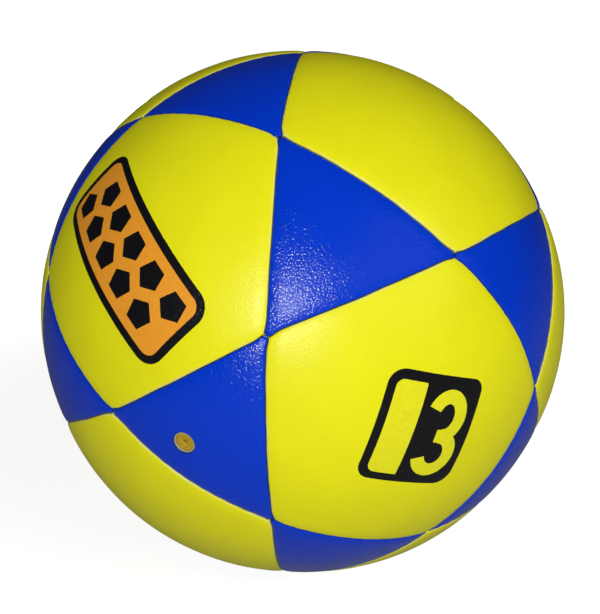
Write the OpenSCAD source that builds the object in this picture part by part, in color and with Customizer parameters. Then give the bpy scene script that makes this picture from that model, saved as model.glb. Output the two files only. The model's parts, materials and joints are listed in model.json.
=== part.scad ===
// Junior futsal ball, sewn from thirty-two synthetic leather panels: twelve yellow pentagons
// and twenty blue triangles. The panels' edges lie on six rings round the ball, and every two
// rings cross twice. Inside are foam and cloth backings, a butyl bladder and a needle valve.
// Millimetres and degrees. The origin is the middle of the ball. +X, +Y and +Z each point
// through a seam crossing, with +Z up.

/* [Ball] */
// Distance round the inflated ball along a seam
girth = 588.7; // [570:0.1:600]
// How far the middle of a panel's own curve lies from the middle of the ball
swell_shift = 5; // [2:0.5:8]

/* [Panels] */
// Thickness of the synthetic leather cover
cover_t = 1.4; // [1:0.1:1.6]
// Room between the turned-in edges of two neighbouring panels
seam_gap = 0.2; // [0.1:0.05:0.3]
// Depth at which two neighbouring folds part
crease_d = 1.4; // [1:0.1:1.8]
// Width of the rounded fold beside a seam
fold_w = 1.8; // [1.4:0.1:2.4]
// How much deeper each fold of a panel is than the one sewn before it
fold_step = 0.02; // [0.01:0.01:0.05]

/* [Backing] */
// Thickness of the foam behind the cover
foam_t = 1.8; // [1.4:0.1:2.4]
// Thickness of the cloth lining behind the foam
lining_t = 1; // [0.6:0.1:1.4]
// Distance from a seam to the edge of the foam and of the lining
backing_edge = 3.4; // [3:0.1:4]
// Glue line between two layers
glue_gap = 0.05; // [0.03:0.01:0.1]

/* [Seams] */
// Thickness of the sewing thread
thread_d = 0.8; // [0.5:0.1:1]
// Depth of the thread below the underside of the cover
thread_depth = 1.2; // [0.8:0.1:1.6]
// Bare length at each end of a seam, next to a crossing
thread_stop = 6; // [5.5:0.5:10]

/* [Bladder] */
// Thickness of the butyl wall
bladder_t = 0.9; // [0.6:0.1:1.4]
// Diameter of the balance patch
patch_d = 28; // [20:1:36]
// Thickness of the balance patch
patch_t = 0.8; // [0.5:0.1:1.5]

/* [Valve] */
// Distance of the valve from its panel's middle, towards the panel's front corner
valve_aside = 6.2; // [0:0.1:8]
// Distance of the valve from its panel's middle, downwards
valve_drop = 2.8; // [0:0.1:5]
// Diameter of the removable plug
plug_d = 5.7; // [5:0.1:6.5]
// Length of the removable plug
plug_len = 15; // [13:0.5:18]
// How far the plug's face lies below the panel
plug_sink = 0.4; // [0.2:0.1:0.8]
// Radial running clearance between the plug and its housing
plug_play = 0.05; // [0.03:0.01:0.1]
// How far the plug's tail stands out of its housing inside the ball
tail_len = 0.5; // [0.3:0.1:1]
// Diameter of the needle hole
needle_d = 1.8; // [1.6:0.1:2]
// Depth of the funnel at the needle hole's mouth
funnel_d = 0.7; // [0.4:0.1:1]
// How much wider the funnel's mouth is than the needle hole, on each side
funnel_flare = 0.6; // [0.3:0.1:0.8]
// Thickness of the rubber lips that close the needle hole's end
lip_t = 2; // [1.5:0.1:3]
// Length of the slit between the lips
slit_len = 2.4; // [2:0.1:3]
// Width of the slit, which the rubber presses shut in use
slit_w = 0.2; // [0.15:0.05:0.3]
// Thickness of the rubber round the plug at the panel
rim_t = 0.3; // [0.25:0.05:0.5]
// Diameter of the housing's neck below the panel
neck_d = 8.4; // [8:0.2:10]
// Diameter of the flange bonded to the bladder
flange_d = 30; // [24:1:40]
// Thickness of the flange
flange_t = 1.2; // [0.8:0.1:2]

/* [Hidden] */
$fn = 96;
phi = (1 + sqrt(5)) / 2;

// Angles from a panel's middle to its corners
pentagon_reach = acos(1 / sqrt(5)) / 2;
triangle_reach = acos(phi / sqrt(3));
// Angle between two neighbouring crossings on one ring
seam_angle = 36;

// Radii of the layers, from the seams inwards
seam_r = girth / (2 * PI);
corner_dip = 0.25;
cover_in_r = seam_r - corner_dip - cover_t;
foam_out_r = cover_in_r - glue_gap;
foam_in_r = foam_out_r - foam_t;
lining_out_r = foam_in_r - glue_gap;
lining_in_r = lining_out_r - lining_t;
bladder_out_r = lining_in_r - 2 * glue_gap;
bladder_in_r = bladder_out_r - bladder_t;
bonded_r = bladder_in_r - glue_gap;

// Outline of the crease, as shares of its depth and of the fold's width
crease_shares = [[1.6, -0.2], [0.55, 0.22], [0.15, 0.6], [-0.3, 1.8]];
crease_clear = 3;

// Thread rings, one on each side of a seam
thread_ring_r = cover_in_r - thread_depth;
thread_aside = seam_gap / 2 + cover_t + thread_d / 2 + glue_gap;
thread_stop_angle = thread_stop / thread_ring_r * 180 / PI;

// Heights along the valve's axis, from the middle of the ball
plug_top = seam_r - plug_sink;
plug_bottom = plug_top - plug_len;
neck_top = sqrt(cover_in_r ^ 2 - (neck_d / 2) ^ 2) - glue_gap;
neck_bottom = plug_bottom + tail_len;
needle_stop = plug_bottom + lip_t;

// Radii round the valve's axis, with room to push the housing in
valve_room = 0.1;
bore_r = plug_d / 2 + plug_play;
rim_r = bore_r + rim_t;
panel_hole_r = rim_r + valve_room;
neck_hole_r = neck_d / 2 + valve_room;

// Cutting tools reach past the faces that they cut by this much
overrun = 1;
// Pyramids between the seams reach past the ball by this share
wedge_share = 1.2;
// A crossing belongs to a panel or a ring when it lies within this angle of its place
near_angle = 1;

yellow = "#e4df1f";
blue = "#1243c8";
foam_white = "#efece2";
cloth_grey = "#cfc9b8";
thread_white = "#f4f2ea";
butyl_black = "#26262a";
amber = "#c8963c";
pale_amber = "#d9c58a";

function unit(v) = v / norm(v);
function turns(v) = [v, [v[2], v[0], v[1]], [v[1], v[2], v[0]]];
function edge_angle(sides, reach) = atan(tan(reach) * cos(180 / sides));
function curve_r(edge) = sqrt(seam_r ^ 2 + swell_shift ^ 2 - 2 * seam_r * swell_shift * cos(edge));
function two_digits(n) = n < 10 ? str("0", n) : str(n);

// Directions of the panels' middles, of the crossings and of the rings' axes
pentagon_dirs = [for (s = [1, -1], t = [1, -1]) each turns([s, 0, t * phi])];
valve_panel_dir = [1 / phi, -phi, 0];
triangle_dirs = [
    for (x = [1, -1], y = [1, -1], z = [1, -1]) [x, y, z],
    for (s = [1, -1], t = [1, -1], d = turns([s / phi, t * phi, 0])) if (d != valve_panel_dir) d
];
crossings = [
    for (s = [1, -1]) each turns([s, 0, 0]),
    for (a = [1, -1], b = [1, -1], c = [1, -1]) each turns([a, b * phi, c / phi] / 2)
];
ring_dirs = concat(turns([1, 0, phi]), turns([-1, 0, phi]));

// Direction of the valve, moved aside and down from its panel's middle
valve_corner = [0, -1, 0];
valve_middle = unit(valve_panel_dir);
valve_towards = unit(valve_corner - (valve_corner * valve_middle) * valve_middle);
valve_dir = unit(seam_r * valve_middle + valve_aside * valve_towards - valve_drop * [0, 0, 1]);

pentagon_names = [for (i = [1:12]) str("pentagon_panel_", two_digits(i))];
triangle_names = [for (i = [1:19]) str("triangle_panel_", two_digits(i))];
thread_names = [for (i = [1:6]) str("seam_thread_", i)];

// Puts a shape with +Z along dir, and +X leaning towards the point aim
module facing(dir, aim) {
    z = unit(dir);
    x = unit(aim - (aim * z) * z);
    y = cross(z, x);
    multmatrix([
        [x[0], y[0], z[0], 0],
        [x[1], y[1], z[1], 0],
        [x[2], y[2], z[2], 0],
        [0, 0, 0, 1]
    ]) children();
}

// Puts a shape on a panel, with +X towards one of the panel's corners
module on_panel(dir, reach) {
    facing(dir, [for (c = crossings) if (c * unit(dir) > cos(reach + near_angle)) c][0]) children();
}

module on_valve() {
    facing(valve_dir, [0, 0, 1]) children();
}

// Pyramid between a panel's seams, drawn in from them by inset
module wedge(sides, reach, inset) {
    height = wedge_share * seam_r;
    translate([0, 0, inset / sin(edge_angle(sides, reach))])
        cylinder(h = height, r1 = 0, r2 = height * tan(reach), $fn = sides);
}

// Ring of air that rounds a panel's edge down into the seam
module crease(extra_d) {
    edge_points = [for (p = crease_shares) [seam_r - extra_d - p[0] * crease_d, -p[1] * fold_w]];
    far_r = seam_r + crease_clear;
    first = edge_points[0];
    last = edge_points[len(edge_points) - 1];
    rotate_extrude()
        polygon(concat(edge_points, [[far_r, last[1]], [far_r, first[1]]]));
}

// A swollen skin whose edges are turned in along the seams, still square outside
module skin(sides, reach) {
    difference() {
        intersection() {
            translate([0, 0, swell_shift]) sphere(curve_r(edge_angle(sides, reach)));
            wedge(sides, reach, seam_gap / 2);
        }
        sphere(lining_in_r);
        intersection() {
            sphere(cover_in_r);
            wedge(sides, reach, seam_gap / 2 + cover_t);
        }
    }
}

// One cover panel, with its edges folded round one after the other
module cover(sides, reach, folds) {
    if (folds == 0)
        skin(sides, reach);
    else
        difference() {
            cover(sides, reach, folds - 1);
            rotate([0, 90 + edge_angle(sides, reach), (folds - 0.5) * 360 / sides])
                crease((folds - 1) * fold_step);
        }
}

// One backing layer, cut short of the turned-in edges
module backing(sides, reach, out_r, in_r) {
    intersection() {
        difference() {
            sphere(out_r);
            sphere(in_r);
        }
        wedge(sides, reach, backing_edge);
    }
}

// Hole along the valve's axis through whatever lies there
module valve_hole(r) {
    on_valve() translate([0, 0, neck_bottom]) cylinder(h = plug_len + overrun, r = r);
}

module pentagon_panel(dir) {
    color(yellow) on_panel(dir, pentagon_reach) cover(5, pentagon_reach, 5);
}

module triangle_panel(dir) {
    color(blue) on_panel(dir, triangle_reach) cover(3, triangle_reach, 3);
}

module valve_panel() {
    color(blue) difference() {
        triangle_panel(valve_panel_dir);
        valve_hole(panel_hole_r);
    }
}

module pentagon_foams() {
    color(foam_white) for (d = pentagon_dirs)
        on_panel(d, pentagon_reach) backing(5, pentagon_reach, foam_out_r, foam_in_r);
}

module triangle_foams() {
    color(foam_white) for (d = triangle_dirs)
        on_panel(d, triangle_reach) backing(3, triangle_reach, foam_out_r, foam_in_r);
}

module valve_panel_foam() {
    color(foam_white) difference() {
        on_panel(valve_panel_dir, triangle_reach) backing(3, triangle_reach, foam_out_r, foam_in_r);
        valve_hole(neck_hole_r);
    }
}

module pentagon_linings() {
    color(cloth_grey) for (d = pentagon_dirs)
        on_panel(d, pentagon_reach) backing(5, pentagon_reach, lining_out_r, lining_in_r);
}

module triangle_linings() {
    color(cloth_grey) for (d = triangle_dirs)
        on_panel(d, triangle_reach) backing(3, triangle_reach, lining_out_r, lining_in_r);
}

module valve_panel_lining() {
    color(cloth_grey) difference() {
        on_panel(valve_panel_dir, triangle_reach) backing(3, triangle_reach, lining_out_r, lining_in_r);
        valve_hole(neck_hole_r);
    }
}

// The two runs of thread along each of the ten seams on one ring
module seam_thread(dir) {
    first_crossing = [for (c = crossings) if (abs(c * unit(dir)) < sin(near_angle)) c][0];
    color(thread_white) facing(dir, first_crossing)
        for (k = [0:9], side = [-1, 1])
            rotate([0, 0, k * seam_angle + thread_stop_angle])
                rotate_extrude(angle = seam_angle - 2 * thread_stop_angle)
                    translate([thread_ring_r, side * thread_aside]) circle(d = thread_d);
}

module bladder() {
    color(butyl_black) difference() {
        sphere(bladder_out_r);
        sphere(bladder_in_r);
        valve_hole(neck_hole_r);
    }
}

// Layer bonded to the inside of the bladder, round the axis +Z
module bonded_disc(d, t) {
    intersection() {
        difference() {
            sphere(bonded_r);
            sphere(bonded_r - t);
        }
        cylinder(h = seam_r, d = d);
    }
}

module balance_patch() {
    color(butyl_black) facing(-valve_dir, [0, 0, 1]) bonded_disc(patch_d, patch_t);
}

module valve_housing() {
    color(pale_amber) on_valve() difference() {
        union() {
            bonded_disc(flange_d, flange_t);
            translate([0, 0, neck_bottom]) cylinder(h = neck_top - neck_bottom, d = neck_d);
            translate([0, 0, neck_bottom])
                cylinder(h = plug_top - neck_bottom, r = rim_r);
        }
        translate([0, 0, neck_bottom - overrun])
            cylinder(h = plug_len + 2 * overrun, r = bore_r);
    }
}

module valve_plug() {
    needle_r = needle_d / 2;
    color(amber) on_valve() difference() {
        translate([0, 0, plug_bottom]) cylinder(h = plug_len, d = plug_d);
        translate([0, 0, needle_stop]) cylinder(h = plug_len, r = needle_r);
        translate([0, 0, plug_top - funnel_d])
            cylinder(h = 2 * funnel_d, r1 = needle_r, r2 = needle_r + 2 * funnel_flare);
        translate([-slit_len / 2, -slit_w / 2, plug_bottom - overrun])
            cube([slit_len, slit_w, lip_t + 2 * overrun]);
    }
}

for (i = [0:11])
    pentagon_panel(pentagon_dirs[i]);
for (i = [0:18])
    triangle_panel(triangle_dirs[i]);
valve_panel();
pentagon_foams();
triangle_foams();
valve_panel_foam();
pentagon_linings();
triangle_linings();
valve_panel_lining();
for (i = [0:5])
    seam_thread(ring_dirs[i]);
bladder();
balance_patch();
valve_housing();
valve_plug();
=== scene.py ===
"""Visual model of a sewn futsal ball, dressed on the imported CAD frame.

Twelve yellow pentagons and twenty blue triangles are sewn edge to edge along six
rings. Every panel is a skin with turned-in edges, so the seams are narrow valleys
between rounded folds. A foam pad behind each panel ends short of the seams and
shows as a faint ridge. Under the panels lie their linings, the sewing thread, the
bladder and the valve. Lengths in the dataclasses are in millimetres, unless they
say metres.
"""

import json
import logging
import math
from dataclasses import dataclass, field
from enum import Enum, IntEnum
from typing import Optional, Sequence, Union

import bmesh
import bpy
import numpy as np
from mathutils import Matrix, Vector
from mathutils.geometry import delaunay_2d_cdt


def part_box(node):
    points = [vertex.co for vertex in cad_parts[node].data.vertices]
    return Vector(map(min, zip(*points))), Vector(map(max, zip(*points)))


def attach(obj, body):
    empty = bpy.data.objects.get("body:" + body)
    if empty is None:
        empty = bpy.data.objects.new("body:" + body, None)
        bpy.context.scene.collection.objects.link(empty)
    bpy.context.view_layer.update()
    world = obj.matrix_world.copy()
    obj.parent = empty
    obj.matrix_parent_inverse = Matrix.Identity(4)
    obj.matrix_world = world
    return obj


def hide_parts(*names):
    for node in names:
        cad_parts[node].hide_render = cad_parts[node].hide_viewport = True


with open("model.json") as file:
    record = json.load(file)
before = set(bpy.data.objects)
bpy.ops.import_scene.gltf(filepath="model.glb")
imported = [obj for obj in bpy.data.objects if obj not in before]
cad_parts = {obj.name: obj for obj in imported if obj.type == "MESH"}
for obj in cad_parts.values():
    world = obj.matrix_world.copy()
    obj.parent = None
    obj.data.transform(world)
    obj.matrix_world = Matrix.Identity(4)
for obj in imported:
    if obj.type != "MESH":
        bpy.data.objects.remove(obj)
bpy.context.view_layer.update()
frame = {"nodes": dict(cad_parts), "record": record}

LOG = logging.getLogger("futsal_ball")
MM = 0.001
PHI = (1 + math.sqrt(5)) / 2
SIGNS = (1, -1)

MATH = "ShaderNodeMath"
VECTOR = "ShaderNodeVectorMath"
RANGE = "ShaderNodeMapRange"
NOISE = "ShaderNodeTexNoise"
MIX = "ShaderNodeMix"
SHADER = "ShaderNodeBsdfPrincipled"
ATTRIBUTE = "GeometryNodeInputNamedAttribute"

Point = tuple[float, float]
Limit = Union[float, str]
Source = Union[str, list[str], float, Sequence[float]]

WHITE = "#FFFFFF"
HALF = (0.5, 0.5, 0.5)
SHARE = (0.0, 1.0)
FADE = (1.0, 0.0)
BOTH_WAYS = (-1.0, 1.0)
# Values between which most of a noise lies, for soft, plain and hard changes
SOFT_NOISE = (0.25, 0.75)
PLAIN_NOISE = (0.3, 0.7)
HARD_NOISE = (0.35, 0.65)
# Settings of the flat triangulation: keep what lies inside the outlines, and merge nearer points
KEEP_INSIDE = 1
PATTERN_MERGE = 1e-9
DRAWING_MERGE = 1e-5
PATTERN_DIGITS = 1e7
# Where the rays start that lay a print on its panel, in ball radii, and the gap that closes its edge
RAY_START = 1.2
FILM_MERGE = 1e-6
# Distance to the valve hole, in metres, that is noted on panels without one
NO_HOLE = 1.0


class Slot(Enum):
    """Material slots of the record, one for each kind of new piece."""

    YELLOW = "yellow_cover"
    BLUE = "blue_cover"
    PRINT = "print_ink"
    FOAM = "foam"
    LINING = "lining_cloth"
    THREAD = "thread"
    VALVE = "valve_rubber"


class Body(Enum):
    """Moving bodies of the frame."""

    BALL = "ball"
    PLUG = "valve_plug"


class Shape(IntEnum):
    """Kinds of panel, by their number of seams."""

    PENTAGON = 5
    TRIANGLE = 3


class Layer(IntEnum):
    """Layers of a panel's closed shell: its face, both edges of the turned-in strip, and its back."""

    FACE = 0
    STRIP = 1
    STRIP_BACK = 2
    BACK = 3


def linear(colour: str) -> tuple[float, float, float, float]:
    """Turn an sRGB hex colour into linear light.

    Args:
        colour: six hex digits after a hash sign.

    Returns:
        Red, green, blue and alpha for a colour socket.
    """
    parts = [int(colour[i:i + 2], 16) / 255 for i in (1, 3, 5)]
    red, green, blue = (c / 12.92 if c <= 0.04045 else ((c + 0.055) / 1.055) ** 2.4 for c in parts)
    return red, green, blue, 1.0


def limits(source: tuple[Limit, Limit], target: tuple[Limit, Limit]) -> dict[int, Limit]:
    """Give the four limits that map one range to another, by the places of their sockets."""
    return dict(enumerate((*source, *target), start=1))


def around(value: float, spread: Point) -> Point:
    """Give the two values that a spread leads to from one in between."""
    return value + spread[0], value + spread[1]


class Wiring:
    """Adds nodes to one tree and finds their sockets by the nodes' names."""

    def __init__(self, tree: bpy.types.NodeTree) -> None:
        """Start on a tree, which is emptied."""
        self.tree = tree
        self.tree.nodes.clear()

    @staticmethod
    def socket(sockets: Sequence[bpy.types.NodeSocket], key: Union[int, str]) -> bpy.types.NodeSocket:
        """Find a socket by its place, identifier or name.

        Args:
            sockets: a node's inputs or outputs.
            key: what to look for.

        Returns:
            The first socket that fits.
        """
        if isinstance(key, int):
            return sockets[key]
        return next(s for s in sockets if key in (s.identifier, s.name))

    def add(self, name: str, kind: str, inputs: Optional[dict[Union[int, str], Source]] = None,
            **settings: object) -> bpy.types.Node:
        """Add one node with its settings, and link or fill its inputs.

        Args:
            name: the node's name, which later inputs use as "name" or "name/output".
            kind: the node's type.
            inputs: a source for each input: text links an output, a list of texts links several,
                and anything else fills the socket.
            settings: properties of the node.

        Returns:
            The new node.
        """
        node = self.tree.nodes.new(kind)
        node.name = name
        for key, value in settings.items():
            setattr(node, key, value)
        for key, source in (inputs or {}).items():
            target = self.socket(node.inputs, key)
            if isinstance(source, (str, list)) and target.type != "STRING":
                for text in [source] if isinstance(source, str) else source:
                    giver, _, output = text.partition("/")
                    outputs = self.tree.nodes[giver].outputs
                    self.tree.links.new(self.socket(outputs, output or 0), target)
            else:
                target.default_value = source
        return node


def new_material(name: str) -> tuple[bpy.types.Material, Wiring]:
    """Make a node material that holds only the place on the piece, as a node named "place".

    Args:
        name: the material's name.

    Returns:
        The material and the wiring of its tree.
    """
    material = bpy.data.materials.new(name)
    material.use_nodes = True
    wiring = Wiring(material.node_tree)
    wiring.add("place", "ShaderNodeTexCoord")
    return material, wiring


def add_pebble_grain(wiring: Wiring, size: float, height: float, unrest: float = 0.3) -> None:
    """Add the embossed pebble grain of the ball's skin, as a node named "grain".

    Args:
        wiring: the material's wiring.
        size: width of a pebble in millimetres.
        height: height of a pebble in millimetres.
        unrest: how often the pebbles' drift changes, for each pebble.
    """
    add = wiring.add
    add("drift", NOISE, {"Vector": "place/Object", "Scale": unrest / (size * MM), "Detail": 1.0})
    add("drift_step", VECTOR, {0: "drift/Color", 1: HALF}, operation="SUBTRACT")
    add("drift_length", VECTOR, {0: "drift_step", "Scale": size * MM}, operation="SCALE")
    add("drifted", VECTOR, {0: "place/Object", 1: "drift_length"}, operation="ADD")
    add("pebbles", "ShaderNodeTexVoronoi", {"Vector": "drifted", "Scale": 1 / (size * MM)})
    add("domes", MATH, {0: "pebbles/Distance", 1: "pebbles/Distance"}, operation="MULTIPLY")
    add("grain", "ShaderNodeBump", {"Height": "domes", "Strength": 1.0, "Distance": height * MM},
        invert=True)


@dataclass(frozen=True)
class GrainedLeather:
    """Synthetic leather: a lacquered PVC skin, calendered with a fine pebble grain.

    The lacquer gives a soft sheen that the grain breaks into small sparks. The folds'
    crests are painted paler, partly as rubbed wear and partly as a painted glint, and
    painted shade darkens the bottoms of the seams and the edge of the valve hole.
    """

    name: str
    colour: str
    # Pale colour of the fold crests: partly rubbed wear, partly a painted glint
    rubbed: str
    # Dark colour of painted shade at the seam bottoms and the valve hole's edge
    dust: str
    roughness: float
    grain_height: float
    specular: float = 0.26
    gloss_tint: str = WHITE
    lacquer: float = 0.0
    lacquer_roughness: float = 0.3
    lacquer_ior: float = 1.4
    grain_size: float = 0.6
    patch_size: float = 14.0
    patch_tones: Point = (0.975, 1.015)
    rub_size: float = 10.0
    rub_gloss: Point = (-0.03, 0.04)
    crest_at: float = 0.42
    crest_width: float = 0.4
    crest_share: float = 0.65
    # Reach and strength of that painted shade, from the seam or the hole's edge
    shade_reach: Point = (0.06, 0.3)
    dust_share: float = 0.85

    def material(self) -> bpy.types.Material:
        """Build the material of one panel colour.

        Returns:
            A material that reads Object coordinates and the panel's seam distance.
        """
        material, wiring = new_material(self.name)
        add = wiring.add
        add_pebble_grain(wiring, self.grain_size, self.grain_height)
        add("seam", "ShaderNodeAttribute", attribute_name="seam", attribute_type="GEOMETRY")
        add("patches", NOISE, {"Vector": "place/Object", "Scale": 1 / (self.patch_size * MM),
                               "Detail": 3.0})
        add("tone", RANGE, {"Value": "patches/Fac", **limits(PLAIN_NOISE, self.patch_tones)})
        add("toned", VECTOR, {0: linear(self.colour)[:3], "Scale": "tone"}, operation="SCALE")
        # Paler fold crests: partly rubbed wear and partly a painted glint where the folds would catch the
        # light, broken up by the rub noise
        add("crest_gap", MATH, {0: "seam/Fac", 1: self.crest_at * MM}, operation="SUBTRACT")
        add("crest_side", MATH, {0: "crest_gap"}, operation="ABSOLUTE")
        add("crest", RANGE, {"Value": "crest_side",
                             **limits((0.0, self.crest_width * MM), (self.crest_share, 0.0))})
        add("rub", NOISE, {"Vector": "place/Object", "Scale": 1 / (self.rub_size * MM), "Detail": 2.0})
        add("rub_share", RANGE, {"Value": "rub/Fac", **limits(HARD_NOISE, SHARE)})
        add("crest_rub", MATH, {0: "crest", 1: "rub_share"}, operation="MULTIPLY")
        add("rubbed", MIX, {"Factor_Float": "crest_rub", "A_Color": "toned",
                            "B_Color": linear(self.rubbed)}, data_type="RGBA")
        # Painted shade: darker towards the seam bottoms and the valve hole's edge, where the folds would
        # shade the skin
        deep_shade, no_shade = (reach * MM for reach in self.shade_reach)
        add("dust_share", RANGE, {"Value": "seam/Fac", **limits((deep_shade, no_shade), (self.dust_share, 0.0))})
        add("dusted", MIX, {"Factor_Float": "dust_share", "A_Color": "rubbed/Result_Color",
                            "B_Color": linear(self.dust)}, data_type="RGBA")
        add("gloss", RANGE, {"Value": "rub/Fac",
                             **limits(PLAIN_NOISE, around(self.roughness, self.rub_gloss))})
        add("skin", SHADER, {"Base Color": "dusted/Result_Color", "Roughness": "gloss",
                             "Specular IOR Level": self.specular, "Specular Tint": linear(self.gloss_tint),
                             "Coat Weight": self.lacquer, "Coat Roughness": self.lacquer_roughness,
                             "Coat IOR": self.lacquer_ior, "Normal": "grain"})
        add("out", "ShaderNodeOutputMaterial", {"Surface": "skin"})
        return material


@dataclass(frozen=True)
class PrintedInk:
    """Screen-print ink on the leather: thin, so the leather's grain shows through it."""

    name: str
    colour: str
    roughness: float = 0.34
    specular: float = 0.3
    grain_size: float = 0.8
    grain_height: float = 0.08
    cover_size: float = 1.6
    cover_tones: Point = (0.96, 1.02)
    cover_gloss: Point = (-0.05, 0.06)

    def material(self) -> bpy.types.Material:
        """Build the ink's material, with slightly uneven cover.

        Returns:
            A material that reads Object coordinates.
        """
        material, wiring = new_material(self.name)
        add = wiring.add
        add_pebble_grain(wiring, self.grain_size, self.grain_height)
        add("cover", NOISE, {"Vector": "place/Object", "Scale": 1 / (self.cover_size * MM),
                             "Detail": 3.0})
        add("tone", RANGE, {"Value": "cover/Fac", **limits(PLAIN_NOISE, self.cover_tones)})
        add("toned", VECTOR, {0: linear(self.colour)[:3], "Scale": "tone"}, operation="SCALE")
        add("gloss", RANGE, {"Value": "cover/Fac",
                             **limits(PLAIN_NOISE, around(self.roughness, self.cover_gloss))})
        add("ink", SHADER, {"Base Color": "toned", "Roughness": "gloss",
                            "Specular IOR Level": self.specular, "Normal": "grain"})
        add("out", "ShaderNodeOutputMaterial", {"Surface": "ink"})
        return material


@dataclass(frozen=True)
class MouldedRubber:
    """Moulded rubber: a dull, faintly mottled skin with a fine mould texture."""

    name: str
    colour: str
    mottle: str
    roughness: float
    ior: float = 1.52
    mottle_size: float = 0.9
    mottle_gloss: Point = (-0.06, 0.06)
    skin_size: float = 0.25
    skin_height: float = 0.012

    def material(self) -> bpy.types.Material:
        """Build the rubber's material.

        Returns:
            A material that reads Object coordinates.
        """
        material, wiring = new_material(self.name)
        add = wiring.add
        add("mottle", NOISE, {"Vector": "place/Object", "Scale": 1 / (self.mottle_size * MM),
                              "Detail": 3.0})
        add("share", RANGE, {"Value": "mottle/Fac", **limits(HARD_NOISE, SHARE)})
        add("tone", MIX, {"Factor_Float": "share", "A_Color": linear(self.colour),
                          "B_Color": linear(self.mottle)}, data_type="RGBA")
        add("gloss", RANGE, {"Value": "mottle/Fac",
                             **limits(PLAIN_NOISE, around(self.roughness, self.mottle_gloss))})
        add("texture", NOISE, {"Vector": "place/Object", "Scale": 1 / (self.skin_size * MM),
                               "Detail": 2.0})
        add("skin", "ShaderNodeBump", {"Height": "texture/Fac", "Strength": 1.0,
                                       "Distance": self.skin_height * MM})
        add("rubber", SHADER, {"Base Color": "tone/Result_Color", "Roughness": "gloss", "IOR": self.ior,
                               "Normal": "skin"})
        add("out", "ShaderNodeOutputMaterial", {"Surface": "rubber"})
        return material


@dataclass(frozen=True)
class FoamedSheet:
    """Expanded foam sheet: matt and pale, with open cells whose pits are painted darker as shade."""

    name: str
    colour: str
    cell: str
    cell_size: float = 0.7
    cell_depth: float = 0.1
    roughness: float = 0.9

    def material(self) -> bpy.types.Material:
        """Build the foam's material.

        Returns:
            A material that reads Object coordinates.
        """
        material, wiring = new_material(self.name)
        add = wiring.add
        add("cells", "ShaderNodeTexVoronoi", {"Vector": "place/Object", "Scale": 1 / (self.cell_size * MM)})
        # Painted shade: darker at the bottoms of the cells' pits
        add("tone", MIX, {"Factor_Float": "cells/Distance", "A_Color": linear(self.cell),
                          "B_Color": linear(self.colour)}, data_type="RGBA")
        add("pits", "ShaderNodeBump", {"Height": "cells/Distance", "Strength": 1.0,
                                       "Distance": self.cell_depth * MM})
        add("foam", SHADER, {"Base Color": "tone/Result_Color", "Roughness": self.roughness,
                             "Normal": "pits"})
        add("out", "ShaderNodeOutputMaterial", {"Surface": "foam"})
        return material


@dataclass(frozen=True)
class WovenCloth:
    """Plain-woven polyester and cotton: crossing yarns that shade each other."""

    name: str
    colour: str
    shade: str
    yarn: float
    depth: float = 0.06
    roughness: float = 0.85
    sheen: float = 0.2

    def material(self) -> bpy.types.Material:
        """Build the cloth's material from yarns that run along X, Y and Z.

        Returns:
            A material that reads Object coordinates.
        """
        material, wiring = new_material(self.name)
        add = wiring.add
        add("scaled", VECTOR, {0: "place/Object", "Scale": math.pi / (self.yarn * MM)}, operation="SCALE")
        add("waves", VECTOR, {0: "scaled"}, operation="SINE")
        add("axes", "ShaderNodeSeparateXYZ", {0: "waves"})
        add("warp", MATH, {0: "axes/X", 1: "axes/Y"}, operation="MULTIPLY")
        add("weave", MATH, {0: "warp", 1: "axes/Z"}, operation="ADD")
        add("share", RANGE, {"Value": "weave", **limits(BOTH_WAYS, SHARE)})
        add("tone", MIX, {"Factor_Float": "share", "A_Color": linear(self.shade),
                          "B_Color": linear(self.colour)}, data_type="RGBA")
        add("yarns", "ShaderNodeBump", {"Height": "share", "Strength": 1.0, "Distance": self.depth * MM})
        add("cloth", SHADER, {"Base Color": "tone/Result_Color", "Roughness": self.roughness,
                              "Sheen Weight": self.sheen, "Normal": "yarns"})
        add("out", "ShaderNodeOutputMaterial", {"Surface": "cloth"})
        return material


# Bright satin vinyl with a shallow grain: a wide, soft sheen, fold crests painted paler as rubbed wear and
# a painted glint, and painted shade in the seam bottoms
YELLOW_LEATHER = GrainedLeather(
    "pvc_leather_yellow", "#E8E414", rubbed="#DCE0B4", dust="#24382C", roughness=0.36, grain_height=0.036,
    shade_reach=(0.05, 0.26), dust_share=0.7)
# Deep blue vinyl with a coarser grain under clear lacquer: a hazy gleam with sharp sparks in it, and
# painted shade in the seam bottoms and round the valve hole
BLUE_LEATHER = GrainedLeather(
    "pvc_leather_blue", "#0036C6", rubbed="#3A62D8", dust="#04243C", roughness=0.15, grain_height=0.125,
    specular=0.3, gloss_tint="#F0FFD0", lacquer=0.22, grain_size=0.7, crest_share=0.0,
    shade_reach=(0.06, 0.36), dust_share=0.7)
# Opaque screen ink: flat colour with the satin of the leather under it
BLACK_INK = PrintedInk("screen_ink_black", "#101014")
ORANGE_INK = PrintedInk("screen_ink_orange", "#EC9C2C")
YELLOW_INK = PrintedInk("screen_ink_yellow", "#E6E21E")
# Soft moulded rubber: dull amber and straw at the valve, and a deep soft black inside
PLUG_RUBBER = MouldedRubber("natural_rubber_moulded_amber", "#BA9A1C", "#AA8618", roughness=0.5)
RIM_RUBBER = MouldedRubber("natural_rubber_moulded_pale", "#C8C49A", "#B4AC78", roughness=0.45)
BLACK_BUTYL = MouldedRubber("butyl_rubber_moulded_black", "#1C1C1E", "#262628", roughness=0.6,
                            mottle_size=6.0)
# Matt backing layers: pale foam pitted with cells and painted darker in the pits as shade, and cloth and
# thread that show their yarns
BACKING_FOAM = FoamedSheet("eva_foam_sheet", "#E8E4D8", "#C8C2B0")
LINING_CLOTH = WovenCloth("polycotton_plain_weave", "#E2DED2", "#A8A294", yarn=0.5)
SEWING_THREAD = WovenCloth("polyester_twisted_thread", "#6E6C50", "#4A4836", yarn=0.2, depth=0.03)


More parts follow.
